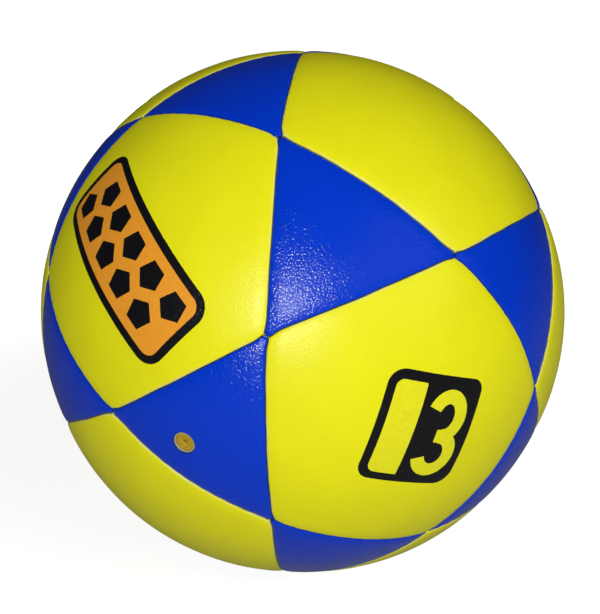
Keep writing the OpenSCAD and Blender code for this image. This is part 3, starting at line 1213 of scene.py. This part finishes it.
@dataclass
class Backing:
    """The layers bonded behind every panel, cut short of the seams: a foam pad and a woven lining."""

    edge: float = 3.4
    foam: Point = (91.9, 90.22)
    lining: Point = (90.12, 89.2)
    rounding: float = 0.3
    rows: int = 8
    hole_radius: float = 4.3
    hole_rings: Point = (0, 1.2)
    hole_steps: int = 40
    sharp_angle: float = 40.0

    def build(self, cover: Cover) -> None:
        """Build the pads and linings in place of their CAD nodes.

        Args:
            cover: the sewn cover that they lie behind.
        """
        form = backing_form()
        foam, cloth = BACKING_FOAM.material(), LINING_CLOTH.material()
        valve = node_axis("valve_panel", TRIANGLE_AXES)
        plain = [axis for axis in TRIANGLE_AXES if axis != valve]
        kinds = {"pentagon_{}s": PENTAGON_AXES, "triangle_{}s": plain, "valve_panel_{}": [valve]}
        for kind, axes in kinds.items():
            pads = self.layer(cover, form, kind.format("foam"), axes, self.foam, foam, Slot.FOAM)
            self.layer(cover, form, kind.format("lining"), axes, self.lining, cloth, Slot.LINING)

    def layer(self, cover: Cover, form: NodeForm, node: str, axes: Sequence[Vector], radii: Point,
              material: bpy.types.Material, slot: Slot) -> bpy.types.Object:
        """Cut one layer and set it behind all panels of a kind.

        Args:
            cover: the sewn cover.
            form: the tree that sets the layers.
            node: the CAD node that they stand for.
            axes: the directions that the panels face.
            radii: outer and inner distance from the middle of the ball, in millimetres.
            material: the layer's material.
            slot: the layer's material slot.

        Returns:
            The finished piece.
        """
        sides = Shape.PENTAGON if axes is PENTAGON_AXES else Shape.TRIANGLE
        hole = cover.turn(axes[0]).transposed() @ valve_axis() if len(axes) == 1 else None
        pattern = PanelPattern(sides, cover.reach(axes[0]), hole, self.hole_radius, fold_rows=(0,),
                               field_rows=self.rows, hole_rings=self.hole_rings, hole_steps=self.hole_steps)
        cut = add_object("cut_layer", pattern.slab(self.edge, radii, self.rounding))
        places = bpy.data.meshes.new(node)
        places.from_pydata([(0, 0, 0)] * len(axes), [], [])
        turned = [angle for axis in axes for angle in cover.turn(axis).to_euler()]
        places.attributes.new("turn", "FLOAT_VECTOR", "POINT").data.foreach_set("vector", turned)
        obj = add_object(f"{node}_cut", places)
        form.put_on(obj, cut=cut, material=material)
        settle(obj)
        bpy.data.objects.remove(cut)
        cover.drift(obj.data)
        smooth(obj.data, self.sharp_angle)
        mount(obj, Body.BALL, slot, node)
        return obj


def thread_form() -> NodeForm:
    """Build the tree that lays a round thread along its runs of stitches.

    Returns:
        The tree with its named inputs.
    """
    form = NodeForm("sewn_thread")
    form.inputs(thickness="Float", sides="Int", material="Material")
    add = form.wiring.add
    add("runs", "GeometryNodeMeshToCurve", {"Mesh": "in/Geometry"})
    add("half", MATH, {0: "in/thickness", 1: 0.5}, operation="MULTIPLY")
    add("section", "GeometryNodeCurvePrimitiveCircle", {"Resolution": "in/sides", "Radius": "half"},
        mode="RADIUS")
    add("thread", "GeometryNodeCurveToMesh", {"Curve": "runs", "Profile Curve": "section",
                                              "Fill Caps": True})
    form.close("thread")
    return form


@dataclass
class SeamThread:
    """The sewing thread: a run on both sides of each seam, under the folds, drawn in at every stitch.

    Attributes:
        radius: distance of the thread from the middle of the ball, and aside its distance from the seam.
        stop: distance from the crossings where the runs end.
        draw: how far a stitch draws the thread towards its seam.
        square: how near to none the height of a ring's crossings over its plane is, in ball radii.
    """

    radius: float = 90.844
    aside: float = 1.95
    thickness: float = 0.8
    stop: float = 6.0
    draw: float = 0.2
    square: float = 1e-4
    points_per_stitch: int = 4
    sides: int = 8
    seams: int = 10
    sharp_angle: float = 60.0

    @staticmethod
    def ring_axis(node: str) -> Vector:
        """Find the axis of a thread's ring, which its CAD solid lies nearest square to."""
        vertices = frame["nodes"][node].data.vertices
        return min(PENTAGON_AXES, key=lambda axis: max(abs(axis.dot(v.co)) for v in vertices))

    def runs(self, axis: Vector) -> bpy.types.Mesh:
        """Draw the runs of stitches along one ring as chains of points.

        Args:
            axis: the ring's axis.

        Returns:
            The chains, before the crossings drift.
        """
        start = next(c for c in CROSSINGS if abs(c.dot(axis)) < self.square)
        side = axis.cross(start)
        seam, stop = 2 * math.pi / self.seams, self.stop / self.radius
        steps = round((seam - 2 * stop) * SIZES.seam_radius / SIZES.stitch_pitch * self.points_per_stitch)
        points: list[Vector] = []
        edges: list[tuple[int, int]] = []
        for k in range(self.seams):
            for way in SIGNS:
                edges += [(len(points) + m, len(points) + m + 1) for m in range(steps)]
                for m in range(steps + 1):
                    along = stop + (seam - 2 * stop) * m / steps
                    stitch = (along - seam / 2) * SIZES.seam_radius / SIZES.stitch_pitch
                    aside = self.aside - self.draw * (0.5 + 0.5 * math.cos(2 * math.pi * stitch))
                    out = start * math.cos(k * seam + along) + side * math.sin(k * seam + along)
                    points.append((out * self.radius + axis * way * aside) * MM)
        mesh = bpy.data.meshes.new("stitch_runs")
        mesh.from_pydata(points, edges, [])
        mesh.attributes.new("calm", "FLOAT", "POINT").data.foreach_set("value", [1.0] * len(points))
        return mesh

    def build(self, cover: Cover, material: bpy.types.Material) -> None:
        """Lay the thread of every ring, in place of its CAD node.

        Args:
            cover: the sewn cover.
            material: the thread's material.
        """
        form = thread_form()
        for node in [n for n in frame["nodes"] if n.startswith("seam_thread")]:
            mesh = self.runs(self.ring_axis(node))
            cover.drift(mesh)
            obj = add_object(f"{node}_sewn", mesh)
            form.put_on(obj, thickness=self.thickness * MM, sides=self.sides, material=material)
            settle(obj)
            smooth(obj.data, self.sharp_angle)
            mount(obj, Body.BALL, Slot.THREAD, node)


def film_form() -> NodeForm:
    """Build the tree that lays a flat drawing on a panel as a thin closed film of ink.

    Returns:
        The tree with its named inputs.
    """
    form = NodeForm("printed_film")
    form.inputs(panel="Object", centre="Vector", across="Vector", up="Vector", radius="Float", lift="Float",
                film="Float", material="Material")
    add = form.wiring.add
    add("position", "GeometryNodeInputPosition")
    add("flat", "ShaderNodeSeparateXYZ", {0: "position"})
    add("run", VECTOR, {0: "position"}, operation="LENGTH")
    add("bend", MATH, {0: "run/Value", 1: "in/radius"}, operation="DIVIDE")
    add("rise", MATH, {0: "bend"}, operation="COSINE")
    add("reach", MATH, {0: "bend"}, operation="SINE")
    add("spread", MATH, {0: "reach", 1: "run/Value"}, operation="DIVIDE")
    add("share_x", MATH, {0: "flat/X", 1: "spread"}, operation="MULTIPLY")
    add("share_y", MATH, {0: "flat/Y", 1: "spread"}, operation="MULTIPLY")
    add("part_x", VECTOR, {0: "in/across", "Scale": "share_x"}, operation="SCALE")
    add("part_y", VECTOR, {0: "in/up", "Scale": "share_y"}, operation="SCALE")
    add("part_z", VECTOR, {0: "in/centre", "Scale": "rise"}, operation="SCALE")
    add("sideways", VECTOR, {0: "part_x", 1: "part_y"}, operation="ADD")
    add("outwards", VECTOR, {0: "sideways", 1: "part_z"}, operation="ADD")
    add("above", MATH, {0: "in/radius", 1: RAY_START}, operation="MULTIPLY")
    add("start", VECTOR, {0: "outwards", "Scale": "above"}, operation="SCALE")
    add("inwards", VECTOR, {0: "outwards", "Scale": -1.0}, operation="SCALE")
    add("skin", "GeometryNodeObjectInfo", {"Object": "in/panel"}, transform_space="ORIGINAL")
    add("hit", "GeometryNodeRaycast", {"Target Geometry": "skin/Geometry", "Source Position": "start",
                                       "Ray Direction": "inwards", "Ray Length": "in/radius"})
    add("height", MATH, {0: "in/lift", 1: "in/film"}, operation="SUBTRACT")
    add("step", VECTOR, {0: "outwards", "Scale": "height"}, operation="SCALE")
    add("place", VECTOR, {0: "hit/Hit Position", 1: "step"}, operation="ADD")
    add("under", "GeometryNodeSetPosition", {"Geometry": "in/Geometry", "Position": "place"})
    add("normal", VECTOR, {0: "position"}, operation="NORMALIZE")
    add("top", "GeometryNodeExtrudeMesh", {"Mesh": "under", "Offset": "normal", "Offset Scale": "in/film",
                                           "Individual": False})
    add("back", "GeometryNodeFlipFaces", {"Mesh": "under"})
    add("both", "GeometryNodeJoinGeometry", {0: ["top/Mesh", "back"]})
    add("closed", "GeometryNodeMergeByDistance", {"Geometry": "both", "Distance": FILM_MERGE})
    form.close("closed")
    return form


def motif_form() -> NodeForm:
    """Build the tree that sets out two staggered rows of plain five-sided motifs, tip towards tip.

    Returns:
        The tree with its named inputs.
    """
    form = NodeForm("motif_rows")
    form.inputs(count="Int", pitch="Float", rise="Float", size="Float", material="Material")
    add = form.wiring.add
    add("last", MATH, {0: "in/count", 1: 1.0}, operation="SUBTRACT")
    add("length", MATH, {0: "last", 1: "in/pitch"}, operation="MULTIPLY")
    add("half", MATH, {0: "length", 1: -0.5}, operation="MULTIPLY")
    add("start", "ShaderNodeCombineXYZ", {"X": "half"})
    add("step", "ShaderNodeCombineXYZ", {"X": "in/pitch"})
    add("line", "GeometryNodeMeshLine", {"Count": "in/count", "Start Location": "start", "Offset": "step"},
        mode="OFFSET", count_mode="TOTAL")
    add("outline", "GeometryNodeMeshCircle", {"Vertices": int(Shape.PENTAGON), "Radius": "in/size"},
        fill_type="TRIANGLE_FAN")
    add("motif", "GeometryNodeSubdivideMesh", {"Mesh": "outline", "Level": 2})
    add("number", "GeometryNodeInputIndex")
    add("odd", MATH, {0: "number", 1: 2.0}, operation="MODULO")
    add("side", MATH, {0: "odd", 1: 0.5}, operation="SUBTRACT")
    add("height", MATH, {0: "side", 1: "in/rise"}, operation="MULTIPLY")
    add("shift", "ShaderNodeCombineXYZ", {"Y": "height"})
    add("places", "GeometryNodeSetPosition", {"Geometry": "line", "Offset": "shift"})
    add("angle", MATH, {0: "odd", 1: math.pi, 2: math.pi / 2}, operation="MULTIPLY_ADD")
    add("euler", "ShaderNodeCombineXYZ", {"Z": "angle"})
    add("turn", "FunctionNodeEulerToRotation", {0: "euler"})
    add("rows", "GeometryNodeInstanceOnPoints", {"Points": "places", "Instance": "motif",
                                                 "Rotation": "turn"})
    form.close("rows")
    return form


def rounded_box(width: float, height: float, radii: Sequence[float], middle: Point = (0, 0),
                steps: int = 10) -> list[Point]:
    """Draw a box with round corners.

    Args:
        width: full width.
        height: full height.
        radii: radius of each corner, anticlockwise from the upper right one.
        middle: the box's middle.
        steps: number of edges in each corner.

    Returns:
        The outline, anticlockwise.
    """
    outline = []
    for k, (sx, sy, radius) in enumerate(zip((1, -1, -1, 1), (1, 1, -1, -1), radii)):
        x, y = middle[0] + sx * (width / 2 - radius), middle[1] + sy * (height / 2 - radius)
        for m in range(steps + 1):
            a = math.pi / 2 * (k + m / steps)
            outline.append((x + radius * math.cos(a), y + radius * math.sin(a)))
    return outline


def bow(middle: Point, radii: Point, stroke: float, start: float, end: float,
        steps: int = 28) -> list[Point]:
    """Draw a bent stroke of even width along part of an ellipse.

    Args:
        middle: the ellipse's middle.
        radii: half its width and half its height, to the stroke's outer side.
        stroke: width of the stroke.
        start: angle where the stroke starts, in degrees.
        end: angle where the stroke ends, in degrees.
        steps: number of edges along the stroke.

    Returns:
        The outline, anticlockwise where the end lies beyond the start.
    """
    angles = [math.radians(start + (end - start) * k / steps) for k in range(steps + 1)]
    outer = [(middle[0] + radii[0] * math.cos(a), middle[1] + radii[1] * math.sin(a)) for a in angles]
    inner = [(middle[0] + (radii[0] - stroke) * math.cos(a), middle[1] + (radii[1] - stroke) * math.sin(a))
             for a in angles]
    return outer + inner[::-1]


def drawing(name: str, outlines: Sequence[Sequence[Point]], spacing: float) -> bpy.types.Mesh:
    """Fill outlines with small triangles on the flat.

    Args:
        name: the mesh's name.
        outlines: closed outlines in millimetres, which may overlap.
        spacing: distance of the points inside, in millimetres.

    Returns:
        The flat mesh, in metres.
    """
    points: list[Vector] = []
    edges: list[tuple[int, int]] = []
    for outline in outlines:
        first = len(points)
        for start, end in zip(outline, [*outline[1:], outline[0]]):
            pieces = max(1, math.ceil(math.dist(start, end) / spacing))
            points += [Vector(start).lerp(Vector(end), k / pieces) for k in range(pieces)]
        count = len(points) - first
        edges += [(first + k, first + (k + 1) % count) for k in range(count)]
    low = [min(p[k] for p in points) for k in (0, 1)]
    high = [max(p[k] for p in points) for k in (0, 1)]
    columns, rows = (round((h - l) / spacing) for l, h in zip(low, high))
    points += [Vector((low[0] + (i + 0.5) * spacing, low[1] + (j + 0.5) * spacing))
               for i in range(columns) for j in range(rows)]
    verts, _, faces, _, _, _ = delaunay_2d_cdt(points, edges, [], KEEP_INSIDE, DRAWING_MERGE)
    mesh = bpy.data.meshes.new(name)
    mesh.from_pydata([(v.x * MM, v.y * MM, 0) for v in verts], [], faces)
    bm = bmesh.new()
    bm.from_mesh(mesh)
    bmesh.ops.delete(bm, geom=[v for v in bm.verts if not v.link_faces], context="VERTS")
    bm.to_mesh(mesh)
    bm.free()
    return mesh


@dataclass
class PrintedMark:
    """A mark printed on one panel, at a place and turn on the ball.

    Attributes:
        panel: the panel that carries it.
        form: the tree of the printed film.
        middle: direction of its middle.
        turn: angle of its long side, in degrees from the level, seen from outside.
        film: height of one layer of ink.
        bite: thickness of a layer's piece in films, with which it reaches into what is under it.
    """

    panel: bpy.types.Object
    form: NodeForm
    middle: Sequence[float]
    turn: float
    film: float = 0.05
    bite: float = 1.2
    sharp_angle: float = 50.0

    def lay(self, name: str, mesh: bpy.types.Mesh, level: int, material: bpy.types.Material,
            motifs: Optional[NodeForm] = None, **row: float) -> None:
        """Print one layer of ink.

        Args:
            name: the piece's name.
            mesh: the flat drawing.
            level: number of layers under it, plus one.
            material: the ink.
            motifs: a tree that sets out the drawing first.
            row: the values of that tree.
        """
        obj = add_object(name, mesh)
        if motifs:
            motifs.put_on(obj, material=material, **row)
        centre = Vector(self.middle).normalized()
        level_side = Vector((0, 0, 1)).cross(centre).normalized()
        across = Matrix.Rotation(math.radians(self.turn), 3, centre) @ level_side
        self.form.put_on(obj, panel=self.panel, centre=centre, across=across, up=centre.cross(across),
                         radius=SIZES.seam_radius * MM, lift=level * self.film * MM,
                         film=self.bite * self.film * MM, material=material)
        settle(obj)
        smooth(obj.data, self.sharp_angle)
        mount(obj, Body.BALL, Slot.PRINT)


@dataclass
class Prints:
    """The two printed marks: a band of plain motifs, and a plate with the size number."""

    band_place: tuple[float, ...] = (-0.018, -0.8735, 0.4865)
    band_turn: float = -35.0
    band: Point = (66.5, 27.5)
    band_corners: tuple[float, ...] = (6.0, 6.0, 6.0, 6.0)
    band_border: float = 2.45
    motif_count: int = 10
    motif_pitch: float = 5.55
    motif_rise: float = 9.4
    motif_size: float = 4.5
    plate_place: tuple[float, ...] = (0.8556, -0.5176, 0.0108)
    plate_turn: float = -18.5
    plate: Point = (31.2, 33.8)
    plate_corners: tuple[float, ...] = (3.6, 5.0, 4.2, 5.0)
    bar: Point = (9.4, 28.4)
    bar_corners: tuple[float, ...] = (0.4, 2.4, 2.4, 0.4)
    bar_middle: Point = (-8.3, -0.2)
    digit_stroke: float = 4.2
    digit_bows: tuple[tuple[Point, Point, float, float], ...] = (
        ((5.5, 5.2), (6.8, 8.0), -95.0, 162.0), ((5.7, -6.4), (7.1, 7.6), -161.0, 95.0))
    digit_bar: Point = (4.0, 4.0)
    digit_bar_middle: Point = (5.9, -0.85)
    digit_bar_corners: tuple[float, ...] = (0.3, 0.3, 0.3, 0.3)
    spacing: float = 1.2

    @staticmethod
    def mark(cover: Cover, film: NodeForm, place: Sequence[float], turn: float) -> PrintedMark:
        """Start a mark on the panel that lies under its place.

        Args:
            cover: the sewn cover.
            film: the tree of the printed film.
            place: direction of the mark's middle.
            turn: angle of its long side, in degrees.

        Returns:
            The mark, still without ink.
        """
        faces = {node: node_axis(node, PENTAGON_AXES + TRIANGLE_AXES) for node in cover.panels}
        under = max(faces, key=lambda node: faces[node].dot(Vector(place)))
        return PrintedMark(cover.panels[under], film, place, turn)

    def build(self, cover: Cover) -> None:
        """Print both marks on their panels.

        Args:
            cover: the sewn cover.
        """
        film = film_form()
        black, orange, yellow = BLACK_INK.material(), ORANGE_INK.material(), YELLOW_INK.material()
        band = self.mark(cover, film, self.band_place, self.band_turn)
        border = rounded_box(*self.band, self.band_corners)
        band.lay("band_border_print", drawing("border", [border], self.spacing), 1, black)
        inside = rounded_box(*(side - 2 * self.band_border for side in self.band),
                             [radius - self.band_border for radius in self.band_corners])
        band.lay("band_field_print", drawing("field", [inside], self.spacing), 2, orange)
        band.lay("band_motif_print", bpy.data.meshes.new("motifs"), 3, black, motif_form(),
                 count=self.motif_count, pitch=self.motif_pitch * MM, rise=self.motif_rise * MM,
                 size=self.motif_size * MM)
        plate = self.mark(cover, film, self.plate_place, self.plate_turn)
        base = rounded_box(*self.plate, self.plate_corners)
        plate.lay("plate_print", drawing("plate", [base], self.spacing), 1, black)
        bar = rounded_box(*self.bar, self.bar_corners, self.bar_middle)
        plate.lay("plate_bar_print", drawing("bar", [bar], self.spacing), 2, yellow)
        digit = [bow(middle, radii, self.digit_stroke, start, end)
                 for middle, radii, start, end in self.digit_bows]
        digit.append(rounded_box(*self.digit_bar, self.digit_bar_corners, self.digit_bar_middle))
        plate.lay("plate_digit_print", drawing("digit", digit, self.spacing / 2), 2, yellow)


@dataclass
class ValvePlug:
    """The rubber plug of the valve, turned round its axis.

    Attributes:
        foot: height of the plug's inner end over the middle of the ball.
        profile: distance from the axis and height over the plug's foot, from the foot's
            middle up the side, over the face and down the needle hole.
    """

    foot: float = 78.294
    profile: tuple[Point, ...] = (
        (0, 0), (2.5, 0), (2.75, 0.1), (2.85, 0.35), (2.85, 14.45), (2.82, 14.62), (2.73, 14.76),
        (2.58, 14.84), (2.38, 14.87), (2.0, 14.86), (1.5, 14.83), (1.0, 14.78), (0.7, 14.7), (0.5, 14.58),
        (0.4, 14.4), (0.35, 14.1), (0.35, 2.0), (0, 2.0))
    steps: int = 64
    sharp_angle: float = 40.0

    def build(self, material: bpy.types.Material) -> None:
        """Turn the plug on its axis, in place of its CAD node.

        Args:
            material: the plug's rubber.
        """
        bm = bmesh.new()
        rings = []
        for r, z in self.profile:
            count = self.steps if r else 1
            rings.append([bm.verts.new((r * math.cos(2 * math.pi * k / count) * MM,
                                        r * math.sin(2 * math.pi * k / count) * MM,
                                        (self.foot + z) * MM)) for k in range(count)])
        for low, high in zip(rings, rings[1:]):
            for k in range(self.steps):
                corners = (low[k % len(low)], low[(k + 1) % len(low)], high[(k + 1) % len(high)],
                           high[k % len(high)])
                bm.faces.new(tuple(dict.fromkeys(corners)))
        bmesh.ops.recalc_face_normals(bm, faces=bm.faces)
        bm.transform(valve_axis().to_track_quat("Z", "Y").to_matrix().to_4x4())
        mesh = bpy.data.meshes.new("valve_plug_turned")
        bm.to_mesh(mesh)
        bm.free()
        mesh.materials.append(material)
        smooth(mesh, self.sharp_angle)
        mount(add_object("valve_plug_turned", mesh), Body.PLUG, Slot.VALVE, "valve_plug")


@dataclass
class InnerPieces:
    """The moulded rubber pieces, which keep their CAD shapes and get real finishes."""

    finishes: dict[str, MouldedRubber] = field(default_factory=lambda: {
        "bladder": BLACK_BUTYL, "balance_patch": BLACK_BUTYL, "valve_housing": RIM_RUBBER})

    def dress(self) -> None:
        """Give each inner CAD node its material."""
        made: dict[str, bpy.types.Material] = {}
        for node, finish in self.finishes.items():
            if finish.name not in made:
                made[finish.name] = finish.material()
            mesh = frame["nodes"][node].data
            mesh.materials.clear()
            mesh.materials.append(made[finish.name])
            LOG.info("%s: %s", node, finish.name)


@dataclass(frozen=True)
class Lamp:
    """A soft oval lamp that faces the ball.

    Attributes:
        name: the lamp's name.
        azimuth: its azimuth from the camera's, in degrees.
        elevation: its elevation, in degrees.
        distance: its distance from the middle of the ball, in metres.
        size: its width and height, in metres.
        power: its power in watts.
        shines: whether it shows in glossy surfaces.
    """

    name: str
    azimuth: float
    elevation: float
    distance: float
    size: Point
    power: float
    shines: bool = False


@dataclass
class Studio:
    """Camera, soft frontal light and a plain white floor.

    Attributes:
        ball_pixel: where the middle of the ball lies in the picture.
        clip: nearest and farthest distance that the camera sees, in metres.
        floor_size: width of the floor, in metres.
        floor_tones: the floor's colour to other light, and to the camera.
        shadow_reach: distances where the floor's shadow is deepest and where it ends, in metres.
        shadow_white: how white the floor glows at these two.
        room_light: strength of the room's light, and of the part of it that shows in gloss.
    """

    azimuth: float = 37.79
    elevation: float = 22.94
    distance: float = 305.2
    lens: float = 47.45
    sensor: float = 36.0
    image: tuple[int, int] = (600, 614)
    ball_pixel: Point = (302.33, 311.43)
    clip: Point = (0.01, 100.0)
    floor_size: float = 40.0
    floor_drop: float = 93.6
    floor_tones: tuple[str, str] = ("#909090", "#D0D0D0")
    shadow_reach: Point = (0.16, 0.42)
    shadow_white: Point = (0.72, 1.0)
    room_light: Point = (0.07, 0.02)
    lamps: tuple[Lamp, ...] = (
        Lamp("key", -7.0, 22.54, 0.8, (0.06, 0.2), 4.0, shines=True),
        Lamp("fill", 50.0, 30.94, 1.0, (0.7, 0.7), 3.4),
        Lamp("back", 180.0, -3.0, 1.2, (0.6, 0.04), 8.0),
    )

    @staticmethod
    def direction(azimuth: float, elevation: float) -> Vector:
        """Direction from the ball to a place given by azimuth and elevation in degrees."""
        a, e = math.radians(azimuth), math.radians(elevation)
        return Vector((math.sin(a) * math.cos(e), -math.cos(a) * math.cos(e), math.sin(e)))

    @staticmethod
    def aim(name: str, data: bpy.types.ID, place: Vector) -> bpy.types.Object:
        """Put a camera or lamp at a place and turn it to the ball.

        Args:
            name: the object's name.
            data: the camera or lamp.
            place: where it stands, in metres.

        Returns:
            The new object.
        """
        obj = bpy.data.objects.new(name, data)
        bpy.context.scene.collection.objects.link(obj)
        obj.location = place
        obj.rotation_mode = "QUATERNION"
        obj.rotation_quaternion = (-place).to_track_quat("-Z", "Y")
        return obj

    def camera(self) -> None:
        """Set up the camera at the picture's viewing angle."""
        data = bpy.data.cameras.new("camera")
        data.lens, data.sensor_width = self.lens, self.sensor
        data.clip_start, data.clip_end = self.clip
        width, height = self.image
        long_side = max(self.image)
        data.shift_x = (width / 2 - self.ball_pixel[0]) / long_side
        data.shift_y = (self.ball_pixel[1] - height / 2) / long_side
        place = self.direction(self.azimuth, self.elevation) * self.distance * MM
        bpy.context.scene.camera = self.aim("camera", data, place)

    def hang(self, lamp: Lamp) -> None:
        """Hang one lamp in its place.

        Args:
            lamp: the lamp.
        """
        data = bpy.data.lights.new(lamp.name, "AREA")
        data.shape, data.energy = "ELLIPSE", lamp.power
        data.size, data.size_y = lamp.size
        place = self.direction(self.azimuth + lamp.azimuth, lamp.elevation) * lamp.distance
        self.aim(lamp.name, data, place).visible_glossy = lamp.shines

    def floor(self) -> None:
        """Lay the white floor, which shows paper white to the camera and keeps the shadow."""
        bm = bmesh.new()
        bmesh.ops.create_grid(bm, x_segments=1, y_segments=1, size=self.floor_size / 2)
        bmesh.ops.translate(bm, verts=bm.verts, vec=(0, 0, -self.floor_drop * MM))
        mesh = bpy.data.meshes.new("floor")
        bm.to_mesh(mesh)
        bm.free()
        material, wiring = new_material("matt_white_paper")
        add = wiring.add
        add("ray", "ShaderNodeLightPath")
        add("away", VECTOR, {0: "place/Object"}, operation="LENGTH")
        add("white", RANGE, {"Value": "away/Value", **limits(self.shadow_reach, self.shadow_white)},
            interpolation_type="SMOOTHSTEP")
        unseen, seen = (linear(tone) for tone in self.floor_tones)
        add("tone", MIX, {"Factor_Float": "ray/Is Camera Ray", "A_Color": unseen, "B_Color": seen},
            data_type="RGBA")
        add("paper", "ShaderNodeBsdfDiffuse", {"Color": "tone/Result_Color"})
        add("glow", "ShaderNodeEmission", {"Color": linear(WHITE), "Strength": "white"})
        add("none", "ShaderNodeEmission", {"Strength": 0.0})
        add("shown", "ShaderNodeMixShader", {0: "ray/Is Camera Ray", 1: "none", 2: "glow"})
        add("sum", "ShaderNodeAddShader", {0: "paper", 1: "shown"})
        add("side", "ShaderNodeNewGeometry")
        add("clear", "ShaderNodeBsdfTransparent")
        add("one_sided", "ShaderNodeMixShader", {0: "side/Backfacing", 1: "sum", 2: "clear"})
        add("out", "ShaderNodeOutputMaterial", {"Surface": "one_sided"})
        mesh.materials.append(material)
        add_object("floor", mesh)

    def world(self) -> None:
        """Fill the room with dim even light, and show white to the camera."""
        world = bpy.data.worlds.new("studio")
        world.use_nodes = True
        bpy.context.scene.world = world
        add = Wiring(world.node_tree).add
        add("ray", "ShaderNodeLightPath")
        add("dim", RANGE, {"Value": "ray/Is Glossy Ray", **limits(SHARE, self.room_light)})
        add("strength", RANGE, {"Value": "ray/Is Camera Ray", **limits(SHARE, ("dim", 1.0))})
        add("room", "ShaderNodeBackground", {"Color": linear(WHITE), "Strength": "strength"})
        add("out", "ShaderNodeOutputWorld", {"Surface": "room"})

    def build(self) -> None:
        """Set the whole stage."""
        bpy.context.scene.view_settings.view_transform = "Standard"
        self.camera()
        for lamp in self.lamps:
            self.hang(lamp)
        self.floor()
        self.world()


def main() -> None:
    """Build the ball's visual model in order."""
    logging.basicConfig(level=logging.INFO, format="%(name)s: %(message)s")
    Studio().build()
    cover = Cover()
    cover.build(YELLOW_LEATHER.material(), BLUE_LEATHER.material())
    Prints().build(cover)
    Backing().build(cover)
    SeamThread().build(cover, SEWING_THREAD.material())
    ValvePlug().build(PLUG_RUBBER.material())
    InnerPieces().dress()


if __name__ == "__main__":
    main()
